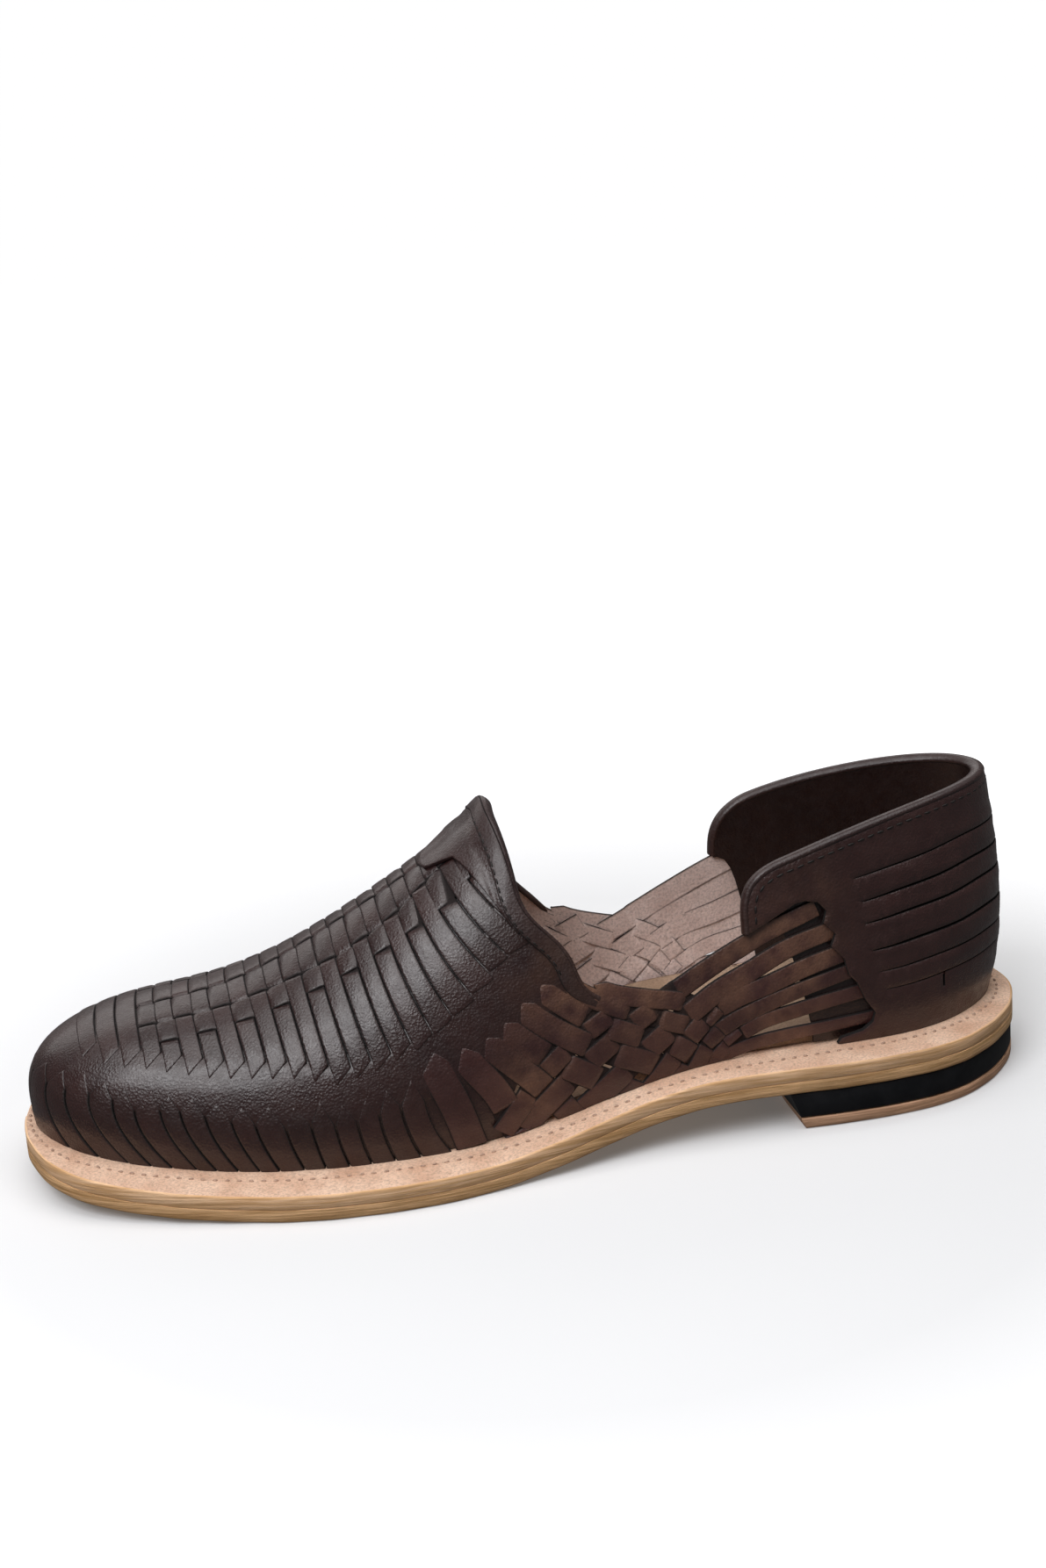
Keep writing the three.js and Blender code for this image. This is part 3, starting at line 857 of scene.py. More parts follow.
def filling(low, high, grid):
    """Points between two corners of a box, every second row shifted by half a step."""
    gx, gy = np.meshgrid(np.arange(low[0], high[0], grid), np.arange(low[1], high[1], grid))
    odd_row = np.arange(gx.size) // gx.shape[1] % 2
    return np.stack([gx.ravel() + odd_row * grid / 2, gy.ravel()], -1)


print("outlines are tested, stepped, inset and filled in a flat chart")

# %% Panels from an outline
EDGE_ROW, HOLE_ROW = 0.45, -0.4
LEAST_GAP = 0.3
CDT_SLACK = 1e-5


def panel(bundle, outline, chart, lift, holes=(), thickness=LEATHER, step=1.0, grid=2.4, drop=0.22):
    """A panel of leather. chart turns a flat point into a place and a normal; lift is a number,
    or a function of the flat points; drop is how far the cut edge is rounded down."""
    loops = [even_steps(np.asarray(loop, float), step) for loop in (outline, *holes)]
    fence = np.concatenate(loops)
    rows = [inset_loop(loop, HOLE_ROW if k else EDGE_ROW) for k, loop in enumerate(loops)]
    extra = np.concatenate([*rows, filling(fence.min(0), fence.max(0), grid)])
    extra = extra[allowed(extra, loops)]
    gap = np.sqrt(((extra[:, None] - fence[None]) ** 2).sum(-1)).min(1)
    points = np.concatenate([fence, extra[gap > LEAST_GAP]])
    edges, start = [], 0
    for loop in loops:
        n = len(loop)
        edges += [(start + k, start + (k + 1) % n) for k in range(n)]
        start += n
    corners = [Vector(p) for p in points]
    flat, _, faces, origin, _, _ = delaunay_2d_cdt(corners, edges, [], 0, CDT_SLACK)
    flat = np.array(flat)
    good = allowed(np.array([flat[face].mean(0) for face in faces]), loops)
    faces = [list(face) for face, keep in zip(faces, good) if keep]
    on_rim = np.array([any(o < len(fence) for o in sources) for sources in origin])
    lifts = np.broadcast_to(lift(flat) if callable(lift) else lift, (len(flat),))
    place, normal = np.array([chart(*p) for p in flat]).transpose(1, 0, 2)
    top = place + normal * (lifts - np.where(on_rim, drop, 0))[:, None]
    under = place + normal * (lifts - thickness)[:, None]
    # The rim is flagged so that the materials paint shade along the panel's cut edge
    shell(bundle, top, under, faces, np.concatenate([on_rim, on_rim]).astype(float))


print("a panel is", LEATHER, "mm thick unless it says otherwise")

# %% Topline
# In the side view, as in the model's source: a start, then two Bezier handles and an end each
TOPLINES = {
    1: ((144, 92), (140.5, 82, 139.5, 76, 139, 69), (138, 59, 128, 59, 126, 47),
        (124, 40.5, 118, 38.8, 113, 39)),
    -1: ((144, 92), (140.5, 82, 139, 74, 137.5, 66), (136, 54, 127, 50, 123.5, 43.5),
         (121, 41, 116, 41.5, 111, 41.5)),
}
HEEL_CURVES = ((50, 75, 30, 78.5, 13, 80), (8, 80.5, 4, 80.5, 1, 80.4))
HEEL_TOPLINES = {
    1: ((80.3, 51.5), (80.3, 53, 80.3, 55, 80.3, 57), (80, 65, 75.8, 67.5, 66, 70), *HEEL_CURVES),
    -1: ((75, 54.5), (75, 55, 75, 56, 75, 57), (74.7, 65, 70.5, 67.5, 66, 70), *HEEL_CURVES),
}
RIDGE = np.array([(150, -1.2), (157, -1.3), (178, -2), (206, -3), (224, -4), (245, -4)])
THROAT_PEAK_X = 141.4
SHOULDER_TOP = (145, 66)


def bezier_points(start, *parts, count=24):
    """Points along a chain of cubic curves in the side view."""
    points = [np.array(start, float)]
    for part in parts:
        a, (b, c, d) = points[-1], np.array(part, float).reshape(3, 2)
        for t in np.linspace(0, 1, count + 1)[1:]:
            start_half = a * (1 - t) ** 3 + b * 3 * t * (1 - t) ** 2
            points.append(start_half + c * 3 * t * t * (1 - t) + d * t**3)
    return np.array(points)


def throat_line(side):
    """The throat's edge as places on the last, from the peak on the ridge down to the waist."""
    points = bezier_points(*TOPLINES[side])
    peak = from_above(THROAT_PEAK_X, table(RIDGE, RIDGE[0, 0]))
    low = points[(points[:, 1] < peak[2] - 1.2) & (points[:, 0] > 120.5)]
    return np.array([peak] + [from_side(side, x, z) for x, z in low])


def shoulder_points(side):
    """The wing's share of the topline in the side view, from the waist up under the tab."""
    points = bezier_points(*TOPLINES[side])
    keep = (points[:, 1] < SHOULDER_TOP[1]) & (points[:, 0] > 122.6)
    return [tuple(p) for p in points[keep][::-2]] + [SHOULDER_TOP]


print("throat peak is", round(float(throat_line(1)[0][2]), 1), "mm high")

# %% [markdown]
# ## Vamp: a toe cap, cross strips and lengthwise strips
# One sheet of leather goes round the toe as a cap and back along both sides as a plain band.
# Twenty-three cross strips start from its slits on one side, climb over the ridge and end in
# slits on the other side. Four lengthwise strips are woven through them along the ridge. The
# ends of the cross strips are cut slantwise, and together they draw a row of small points. A
# bump map could fake the weave, but its edges would not stand out against the light, so every
# strip is real and rises or dives at each crossing.

# %% Lines that the weave follows
FIRST_CROSS, LAST_CROSS = -3, 19
CAP_X = 251.0
WEAVE_START, WEAVE_END = 238.0, 149.0
WEAVE_STEP = 0.6
# The row of points in the side view (x, z)
V_LINE = np.array([
    (137, 60), (143, 55), (149, 51), (158, 42.5), (168, 35), (180, 30.5), (190, 28), (200, 30),
    (220, 30.7), (237, 33), (247, 33.5), (251, 34.2), (262, 35),
])
# How far the lengthwise strips reach from the ridge at x: the inner ones, then the outer ones
INNER_REACH = np.array([(150, 8.5), (157, 9), (170, 13.5), (183, 14.7), (205, 12.5), (225, 12), (245, 12)])
OUTER_REACH = np.array([(150, 18), (157, 20), (183, 21), (210, 20), (245, 19.5)])
# Number of a cross strip and x of its front edge on the ridge
RIDGE_FRONT = np.array([
    (-3, 254.0), (-2, 249.0), (-1, 243.6), (0, 238.0), (2, 228.6), (4, 219.0), (6, 209.0),
    (8, 199.6), (10, 190.4), (12, 181.5), (14, 172.9), (16, 164.7), (18, 156.6), (20, 148.7),
])
FIRST_POINT, POINT_PITCH = 236.9, 5.2
SWEEP_BACK = 2.4


def point_x(i):
    """x of the point at the end of cross strip i."""
    return FIRST_POINT - POINT_PITCH * i


def front_edge(i, t):
    """x of the front edge of cross strip i; t goes from 0 at the ridge to 1 at the point."""
    top = table(RIDGE_FRONT, i)
    return top - (top - point_x(i)) * t**SWEEP_BACK


def arm_angle(place, x):
    """The angle from upright at which an arm on the long axis points to a place."""
    return math.atan2(place[1] - middle_y(x), place[2] - AXIS_Z)


def end_angles(i):
    """The arm's angle at both ends of cross strip i."""
    x = point_x(i)
    return {side: arm_angle(from_side(side, x, table(V_LINE, x)), x) for side in (1, -1)}


def crosses_over(i, side, inner):
    """Whether cross strip i passes over the inner or outer lengthwise strip of one side."""
    return (i % 2 == 1) == (inner == (side > 0))


print("cross strips end", POINT_PITCH, "mm apart")

# %% Cross strips
TIP_LENGTH = 4.4
TUCK = 0.3  # how far the end of a strip dives into its slit
random = np.random.default_rng(7)


def pointed(left, right, reach, apex, at_start=True):
    """Draws the edges together at one end. apex 0 is the left edge, 1 the right one."""
    middle = (left + right) / 2
    away = path_reach(middle) if at_start else path_reach(middle[::-1])[::-1]
    tip = left + (right - left) * apex
    share = np.clip(away / reach, 0.06, 1)[:, None]
    return tip + (left - tip) * share, tip + (right - tip) * share, away


def tucked(away, length=0.7):
    """How much lower a strip lies near its end, because the end dives into a slit."""
    return TUCK * (1 - ramp(away, 0.0, length))


def cross_lift(i, offset, x):
    """Over or under the four lengthwise strips; offset is the distance from the ridge in plan."""
    lift = OVER
    if i < 0:
        return lift
    near, far = table(INNER_REACH, x), table(OUTER_REACH, x)
    for side in (1, -1):
        for inner, start, end in ((True, 0, near), (False, near, far)):
            if not crosses_over(i, side, inner):
                lift = lift + (UNDER - OVER) * plateau(side * offset, start, end, 1.3, 0.5)
    return lift


def cross_strips():
    """Each strip runs from its point on the medial side over the ridge to the lateral side."""
    bundle = Bundle()
    for i in range(FIRST_CROSS, LAST_CROSS + 1):
        ends, next_ends = end_angles(i), end_angles(i + 1)
        front, rear = [], []
        for angle in np.linspace(ends[-1], ends[1], 150):
            side = 1 if angle > 0 else -1
            gap = 0.17 + 0.07 * math.sin(7 * angle + i * 2.4)
            front.append(from_axis(front_edge(i, abs(angle / ends[side])) - gap, angle))
            next_t = min(abs(angle / next_ends[side]), 1.25)
            rear.append(from_axis(front_edge(i + 1, next_t) + 0.06, angle))
        front, rear, from_start = pointed(np.array(front), np.array(rear), TIP_LENGTH, 0.0)
        front, rear, from_end = pointed(front, rear, TIP_LENGTH, 0.0, at_start=False)
        middle = (front + rear) / 2
        lift = np.array([cross_lift(i, m[1] - table(RIDGE, m[0]), m[0]) for m in middle])
        lift = lift - tucked(np.minimum(from_start, from_end))
        strip(bundle, front, rear, lift, tint=random.uniform(0.2, 0.8))
    return bundle.build("vamp_cross_strips", [DARK, FLESH])


cross_strips()

# %% Lengthwise strips
SIDE_GAP = 0.17
WIDEST_ANGLE = 1.4


def lengthwise_lift(x, angle, side, inner):
    """Over or under the cross strips that lie near x."""
    if x > WEAVE_START - 1:
        return OVER + (UNDER - OVER) * ramp(x, WEAVE_START - 1, WEAVE_START)
    lift = OVER
    t = abs(angle) / WIDEST_ANGLE
    for i in range(LAST_CROSS + 1):
        front = front_edge(i, t)
        if front - 7 < x < front + 2 and crosses_over(i, side, inner):
            rear = front_edge(i + 1, t)
            slope = ramp(x, rear - 1.1, rear + 0.8) * (1 - ramp(x, front - 0.8, front + 1.1))
            lift = lift + (UNDER - OVER) * slope
    return lift


def lengthwise_strips():
    """Two strips on each side of the ridge, from the toe cap back under the tab."""
    bundle = Bundle()
    for side in (1, -1):
        for inner in (False, True):
            left, right, lift = [], [], []
            for x in np.arange(WEAVE_START + 2, WEAVE_END, -WEAVE_STEP):
                near = 0.0 if inner else table(INNER_REACH, x)
                far = table(INNER_REACH if inner else OUTER_REACH, x)
                ridge = table(RIDGE, x)
                left.append(from_above(x, ridge + side * (near + SIDE_GAP)))
                right.append(from_above(x, ridge + side * (far - SIDE_GAP)))
                lift.append(lengthwise_lift(x, arm_angle(right[-1], x), side, inner))
            strip(bundle, left, right, lift, tint=random.uniform(0.3, 0.7))
    return bundle.build("vamp_lengthwise_strips", [DARK, FLESH])


lengthwise_strips()

# %% [markdown]
# ## Fan: strips round the sole's edge
# Below the plain band, short strips fan out all round the forefoot. Each one starts in a slit
# of the band with a pointed top, and runs down and back to the flange, where the welt seam
# holds it. Copies of one strip would look alike, so each point and notch is given one by one, in
# ring places of the last, and the medial side mirrors the lateral one.

# %% Fan strips
# For each strip: ring place and height of its point, then of the notch on its toe side
FAN = np.array([
    (5.88, 0.26, 5.98, 0.19), (6.07, 0.25, 6.15, 0.18), (6.24, 0.24, 6.33, 0.17),
    (6.43, 0.24, 6.51, 0.17), (6.60, 0.27, 6.71, 0.19), (6.83, 0.267, 6.93, 0.19),
    (7.04, 0.283, 7.19, 0.215), (7.28, 0.287, 7.40, 0.235), (7.51, 0.310, 7.64, 0.255),
    (7.74, 0.345, 7.88, 0.278), (7.99, 0.357, 8.09, 0.293), (8.18, 0.390, 8.36, 0.275),
    (8.50, 0.405, 8.61, 0.325), (8.75, 0.430, 8.90, 0.350), (9.05, 0.472, 9.20, 0.345),
    (9.34, 0.455, 9.48, 0.330), (9.65, 0.450, 9.82, 0.330), (10.0, 0.450, 10.18, 0.330),
])
FIRST_NOTCH = (5.79, 0.18)
# How far back along the ring a strip runs on its way down
FAN_SHIFT = np.array([
    (5.4, -0.5), (5.58, -0.35), (5.8, -0.15), (6.2, -0.08), (6.7, -0.07), (7.4, -0.18),
    (7.9, -0.27), (8.4, -0.33), (9, -0.45), (9.5, -0.33), (10, 0),
])
FAN_GAP = 0.0065


def mirrored(rows):
    """Ring places of the lateral side, carried over to the medial side."""
    return [(RING - u, v) for u, v in rows]


def fan_shift(u):
    return table(FAN_SHIFT, u) if u <= LAST_RIB else -table(FAN_SHIFT, RING - u)


def fan_edge(u_top, v_top, u_notch, v_notch, sign):
    """One edge of a fan strip, from its point past a notch down to the feather line."""
    edge = []
    for v in np.concatenate([np.linspace(v_top, v_notch, 16)[:-1], np.linspace(v_notch, 0.0, 34)]):
        if v > v_notch:
            share = (v_top - v) / (v_top - v_notch)
            u = u_top + (u_notch - u_top) * max(share, 0.05)
        else:
            u = u_notch + fan_shift(u_notch) * (1 - v / v_notch) ** 1.8
        edge.append(last_point(u + sign * FAN_GAP * min(1, (v_top - v) * 12), v))
    return np.array(edge)


def fan_strips():
    """The strips of both sides, from the lateral waist round the toe to the medial waist."""
    bundle = Bundle()
    tops = np.concatenate([FAN[:, :2], mirrored(FAN[-2::-1, :2])])
    last_notches = mirrored(FAN[-3::-1, 2:]) + mirrored([FIRST_NOTCH])
    notches = np.concatenate([[FIRST_NOTCH], FAN[:, 2:], last_notches])
    for k, (u_top, v_top) in enumerate(tops):
        rear = fan_edge(u_top, v_top, *notches[k], 1)
        front = fan_edge(u_top, v_top, *notches[k + 1], -1)
        away = path_reach((rear + front) / 2)
        lift = OVER - tucked(away) + 0.1 * math.sin(k * 2.1)
        strip(bundle, front, rear, lift, tint=random.uniform(0.2, 0.8))
    return bundle.build("fan_strips", [DARK, FLESH])


fan_strips()

# %% [markdown]
# ## Band, toe cap and wings
# This is the one sheet under all those ends: a cap at the toe, a plain band along the sides and
# a wing behind, up to the topline. It is cut as one panel in a chart that unrolls the last, so
# that no seam shows. It lies flush between the two rows of points and sinks under the strips.

# %% Band, toe cap and wings in one panel
# Side-view corners of the wing, from the fan's end up under the waist strips to the topline
WING_LOW = [(145.5, 8.2), (145.5, 14), (145, 20), (143, 24.5), (139, 28), (134, 32), (127, 35),
            (120.5, 39.5)]
AROUND_SCALE, CLIMB_SCALE = 15.0, 62.0
# Ring place and height of the row of slits: first at the waist strips, then at the fan
SLIT_ROW = np.array([
    (4.3, -0.1), (4.45, 0.25), (4.68, 0.30), (4.86, 0.31), (5.0, 0.285), (5.2, 0.25),
    (5.5, 0.215), (5.8, 0.20), *FAN[:, 2:].tolist(),
])
BAND_LIFT, BAND_SINK = 0.1, 0.9
BAND_TOP, THROAT_BASE = 6, 58


def ring_chart(a, b):
    """The chart that unrolls the last: a runs round it and b climbs it, both in millimetres."""
    u, v = a / AROUND_SCALE, min(max(b / CLIMB_SCALE, 0.0), 1.0)
    return last_point(u, v), last_normal(u, v)


def band_lift(points):
    """Flush between the two rows of points, sunk under the strips' ends."""
    u, v = points[:, 0] / AROUND_SCALE, np.clip(points[:, 1] / CLIMB_SCALE, 0, 1)
    notch = table(SLIT_ROW, np.where(u > LAST_RIB, RING - u, u))
    under_fan = ramp(notch - v, 0.005, 0.03)
    places = last_point(u, v)
    over = places[:, 2] - table(V_LINE, places[:, 0])
    under_cross = ramp(over, 3.4, 4.6) * (places[:, 2] < THROAT_BASE)
    return BAND_LIFT - BAND_SINK * np.maximum(under_fan, under_cross)


def band_tops():
    """The band's upper edge, hidden under the cross strips; round the toe it is the ridge."""
    climb = np.linspace(0, 1, 240)
    tops = []
    for u in np.linspace(5.3, 14.7, 150):
        wall = last_point(np.full(len(climb), u), climb)
        below = wall[:, 2] < table(V_LINE, wall[:, 0]) + BAND_TOP
        covered = (wall[:, 0] > CAP_X) | below
        tops.append((u, 1.0 if covered.all() else climb[np.argmin(covered)]))
    return tops


def band_and_cap():
    """The outline goes up the lateral wing, over the toe, down the medial wing and back below."""
    wings = [[ring_place(from_side(side, x, z)) for x, z in WING_LOW + shoulder_points(side)]
             for side in (1, -1)]
    lateral, medial = wings
    top = [p for p in band_tops() if lateral[-1][0] < p[0] < medial[-1][0]]
    bottom = [(u, 0.0) for u in np.linspace(14.3, 5.7, 120)]
    flat = np.array(lateral + top + medial[::-1] + bottom) * [AROUND_SCALE, CLIMB_SCALE]
    bundle = Bundle()
    panel(bundle, flat, ring_chart, band_lift, grid=1.6)
    return bundle.build("band_and_toe_cap", [DARK, FLESH], ("upper",))


band_and_cap()

# %% [markdown]
# ## Backing
# Between the strips of a real weave no light comes through, because a thin leather stands
# behind it. A plain sheet on the same last, a little further in, does the same here.

# %% Backing under the weave
BACKING_OUT, BACKING_IN = 1.5, 1.95
BACKING_HALF_ANGLE = 1.35


def backing():
    """A thin lining behind the woven part; its inner side is natural leather."""
    outer, inner = [], []
    for x in np.linspace(142.6, 253, 74):
        angles = np.linspace(-BACKING_HALF_ANGLE, BACKING_HALF_ANGLE, 61)
        row = [nearest(from_axis(x, angle)) for angle in angles]
        outer.append([p - n * BACKING_OUT for p, n in row])
        inner.append([p - n * BACKING_IN for p, n in row])
    bundle = Bundle()
    sheet(bundle, np.array(outer), np.array(inner))
    return bundle.build("vamp_backing", [LINING, FLESH])


backing()

# %% [markdown]
# ## Waist: two families of strips, plainly woven
# Eight strips come out of the wing and run down and back; seven bands run from the flange up
# and back to the heel counter. They pass over and under each other in turn. Behind the last
# crossing only the bands go on, and small gaps open between them. The courses are drawn in the
# side view, like a weaver's sketch, and the crossings are then found by the script, so a
# course can be moved without counting again. Both sides are woven alike.

# %% Courses of strips and bands
# Each strip: width, then (x, z) points from its upper front end
DOWN_STRIPS = [
    (5.4, [(122, 43.5), (117, 41), (108, 38.2), (98, 35.5), (90, 30), (85, 23)]),
    (5.6, [(130, 46), (123, 41.2), (112, 35.4), (102, 31), (93.5, 27.2), (87, 20)]),
    (6.3, [(136.5, 46), (130.5, 40.8), (122, 34.4), (111, 28.7), (101, 24.2), (91, 15.5)]),
    (6.9, [(142, 42.3), (136.5, 37.2), (128, 31), (118, 25.3), (108, 20.6), (98, 14)]),
    (7.2, [(147, 38), (141, 32.5), (132, 25.3), (123, 19.5), (112, 12.4)]),
    (7.3, [(152, 35), (146.5, 29.5), (139, 21.8), (129, 9)]),
    (7.9, [(158.5, 33.6), (155.5, 29.2), (150, 21.5), (144.5, 8)]),
    (8.6, [(166, 33.5), (164, 28), (160.5, 19), (157, 7)]),
]
# Each band: width at the front and at the rear, then (x, z) points from its lower front end
UP_BANDS = [
    (6.6, 5.4, [(149, 9.5), (136, 24.5), (128, 30.5), (117.5, 36.2), (113, 38.6)]),
    (7.2, 5.0, [(144, 9.0), (130, 20.8), (121, 26.8), (112, 32.3), (104, 36.6), (97, 40.3),
                (88, 44.9), (75, 50.8), (61, 55.6)]),
    (7.7, 5.2, [(129, 9.5), (113, 21.5), (104, 27.8), (97, 32.2), (90, 36.4), (80, 41.0),
                (70, 45.6), (55, 49.6)]),
    (6.1, 5.4, [(111, 10.5), (98, 25), (92, 30.5), (85, 34), (75, 36.8), (65, 40), (52, 43)]),
    (5.3, 4.3, [(99, 12.0), (88, 27), (80, 30.2), (70, 33.2), (50, 37.8)]),
    (4.6, 4.4, [(92, 17.5), (86, 22.5), (78, 26.5), (68, 28.5), (48, 31.4)]),
    (4.2, 3.6, [(91, 17.8), (86, 19.6), (80, 21), (70, 22), (60, 22.5), (44, 23.6)]),
]
WIDTH_PLAY = 0.25
MEDIAL_EXTRA = 1.9
print(len(DOWN_STRIPS), "strips cross", len(UP_BANDS), "bands on each side")


# %% Crossings and lifts
STRIP_OVER, STRIP_UNDER = 0.26, -0.36
STRIP_REST, BAND_REST = 0.2, 0.06
STEEPEST_SINE = 0.6


def line(knots, count):
    """A smooth line through given points, cut into even steps."""
    knots = np.asarray(knots, float)
    reach = path_reach(knots)
    slopes = np.gradient(knots, reach, axis=0)
    s = np.linspace(0, reach[-1], count)
    k = np.clip(np.searchsorted(reach, s, "right") - 1, 0, len(knots) - 2)
    span = (reach[k + 1] - reach[k])[:, None]
    t = (s - reach[k])[:, None] / span
    start = (2 * t**3 - 3 * t**2 + 1) * knots[k] + (t**3 - 2 * t**2 + t) * slopes[k] * span
    end = (3 * t**2 - 2 * t**3) * knots[k + 1] + (t**3 - t**2) * slopes[k + 1] * span
    return start + end


def crossings(path, others, widths):
    """Where a path crosses the others: distance along it, number, half the length it shares."""
    found = []
    reach = path_reach(path)
    for number, other in enumerate(others):
        for k in range(len(path) - 1):
            a, d = path[k], path[k + 1] - path[k]
            gap, e = other[:-1] - a, np.diff(other, axis=0)
            cross = d[0] * e[:, 1] - d[1] * e[:, 0]
            cross = np.where(np.abs(cross) < 1e-9, 1e-9, cross)
            s = (gap[:, 0] * e[:, 1] - gap[:, 1] * e[:, 0]) / cross
            t = (gap[:, 0] * d[1] - gap[:, 1] * d[0]) / cross
            hits = np.flatnonzero((s >= 0) & (s <= 1) & (t >= 0) & (t <= 1))
            if len(hits):
                h, length = hits[0], np.linalg.norm(d)
                sine = abs(cross[h]) / (length * np.linalg.norm(e[h]))
                half = widths[number] / 2 / max(sine, STEEPEST_SINE)
                found.append((reach[k] + s[h] * length, number, half))
                break
    return sorted(found), reach


def woven_lift(path, others, widths, sign, rest):
    """Height along a strip that goes over and under the others in turn."""
    found, reach = crossings(path, others, widths)
    lift = np.full(len(path), rest)
    for place, number, half in found:
        height = STRIP_OVER if (number + sign) % 2 else STRIP_UNDER
        lift += (height - rest) * plateau(reach, place - half, place + half, 0.9, 0.3)
    return np.clip(lift, STRIP_UNDER, STRIP_OVER)


def on_side(side, path, widths):
    """Both edges of a strip drawn in the side view, laid on the last."""
    way = np.gradient(path, axis=0)
    way /= np.linalg.norm(way, axis=1, keepdims=True)
    half = np.stack([-way[:, 1], way[:, 0]], -1) * widths[:, None] / 2
    return [np.array([from_side(side, x, max(z, bed(x) + 0.05)) for x, z in edge])
            for edge in (path + half, path - half)]


def above_bed(path):
    """The part of a course that is not hidden in the seam with the midsole."""
    return path[path[:, 1] > bed(path[:, 0]) - 2.5]


print("strips lie", STRIP_OVER, "mm over the last or", -STRIP_UNDER, "mm under it")

# %% Waist on both sides
BROAD_TIP_FROM = 6
TIP_APEX = 0.65
# Where the bands leave the weave and calm down, from front to rear, on each side
CALM = {1: (66, 58), -1: (84, 76)}


def waist(side):
    """The strips and bands of one side, all laid on the last, as one mesh."""
    bundle = Bundle()
    down = [above_bed(line(points, 70)) for _, points in DOWN_STRIPS]
    up = [above_bed(line(points, 110)) for _, _, points in UP_BANDS]
    down_widths = [width for width, _ in DOWN_STRIPS]
    up_widths = [front for front, _, _ in UP_BANDS]
    for i, path in enumerate(down):
        left, right = on_side(side, path, np.full(len(path), down_widths[i] - WIDTH_PLAY))
        tip = 4.0 if i >= BROAD_TIP_FROM else 3.0
        left, right, away = pointed(left, right, tip, TIP_APEX)
        lift = woven_lift(path, up, up_widths, i, STRIP_REST)
        if i > 0:
            lift = lift - tucked(away, 0.8)
        strip(bundle, left, right, lift, tint=random.uniform(0.2, 0.8))
    for j, path in enumerate(up):
        front, rear, _ = UP_BANDS[j]
        rear += MEDIAL_EXTRA if side < 0 else 0.0
        left, right = on_side(side, path, np.linspace(front, rear, len(path)) - WIDTH_PLAY)
        lift = woven_lift(path, down, down_widths, j + 1, BAND_REST)
        if j > 0:
            rear_lift = 0.25 if side < 0 and j % 2 == 0 else 0.0
            calm_start, calm_end = CALM[side]
            lift = lift + (rear_lift - lift) * ramp(-path[:, 0], -calm_start, -calm_end)
        strip(bundle, left, right, lift, tint=random.uniform(0.2, 0.8))
    label = "lateral" if side > 0 else "medial"
    return bundle.build("waist_weave_" + label, [STRAP, FLESH])


for side in (1, -1):
    waist(side)

# %% [markdown]
# ## Throat tab
# A tongue of leather covers the ends of the last cross strips. It could be a panel like the
# wing, but a crease runs along its fold, so it is drawn row by row from the fold to the front:
# the crease, the rounded cut edge and the thin tips at both sides are then one line of code each.

# %% Throat tab
# The tab's front edge: angle from upright in degrees, then x
TAB_FRONT = np.array([(0.0, 160.4), (5.5, 159.3), (8.6, 152.3), (20, 147.5), (31.9, 141.7), (34.8, 139.9)])
TAB_ANGLES = np.concatenate([np.arange(-34.8, -9, 0.9), np.arange(-8.6, 8.7, 0.86),
                             np.arange(9.4, 34.9, 0.9)])
TAB_SHARES = (0, 0.03, 0.1, 0.2, 0.3, 0.4, 0.5, 0.6, 0.7, 0.8, 0.88, 0.95, 0.985, 1.0)
TAB_EDGE = {0.985: 0.06, 1.0: 0.3}
TAB_TOP, TAB_LOW = 1.28, 0.42
CREASE_DEPTH, CREASE_PLACE, CREASE_WIDTH = 0.34, 5.0, 0.7
TAB = dark_leather("tab_leather", 0.38, 0.15)


def throat_x(side, angle):
    """x of the throat's edge at this angle from the long axis, found in a few steps."""
    points = bezier_points(*TOPLINES[side])
    points = points[np.argsort(points[:, 1])]
    x = 141.0
    for _ in range(4):
        place = from_axis(x, side * angle)
        x = float(np.interp(place[2], points[:, 1], points[:, 0]))
    return x


def throat_tab():
    """The tab in rows from its fold at the throat to its front edge."""
    outer, inner = [], []
    for degrees in TAB_ANGLES:
        angle = math.radians(degrees)
        rear_x = throat_x(1 if angle >= 0 else -1, abs(angle)) + 0.5
        front_x = max(float(table(TAB_FRONT, abs(degrees))), rear_x + 0.6)
        fade = ramp(abs(degrees), 33, 35) * 0.5
        top_row, low_row = [], []
        for share in TAB_SHARES:
            from_fold = (front_x - rear_x) * share
            place, normal = nearest(from_axis(rear_x + from_fold, angle))
            crease = CREASE_DEPTH * math.exp(-(((from_fold - CREASE_PLACE) / CREASE_WIDTH) ** 2))
            drop = crease + TAB_EDGE.get(share, 0) + fade
            top_row.append(place + normal * (TAB_TOP - drop))
            low_row.append(place + normal * (TAB_LOW - fade))
        outer.append(top_row)
        inner.append(low_row)
    bundle = Bundle()
    sheet(bundle, np.array(outer), np.array(inner))
    return bundle.build("throat_tab_leather", [TAB, FLESH], ("throat_tab",))


throat_tab()

# %% [markdown]
# ## Binding of the throat
# The edge of the tab is folded in and sewn, and the fold runs on along the wing's shoulder, so
# that the foot slides over a soft edge. A curve with a round bevel would be a cord; a fold is
# flat outside and round only at the edge. It is made of a strip and a tube that meet.

# %% Tubes that follow an edge
def bead(bundle, path, normals, across, height, reach, sides=12):
    """A closed tube with an oval section: height along the normals, reach along the leather."""
    heights = np.broadcast_to(height, (len(path),))
    angles = np.arange(sides) * 2 * math.pi / sides
    rows = []
    for p, n, a, h in zip(path, normals, across, heights):
        rows += [p + n * h * math.cos(q) + a * reach * math.sin(q) for q in angles]
    faces = tube_faces(len(path), sides)
    bundle.add(np.array(rows), faces, [TOP_SIDE] * len(faces))


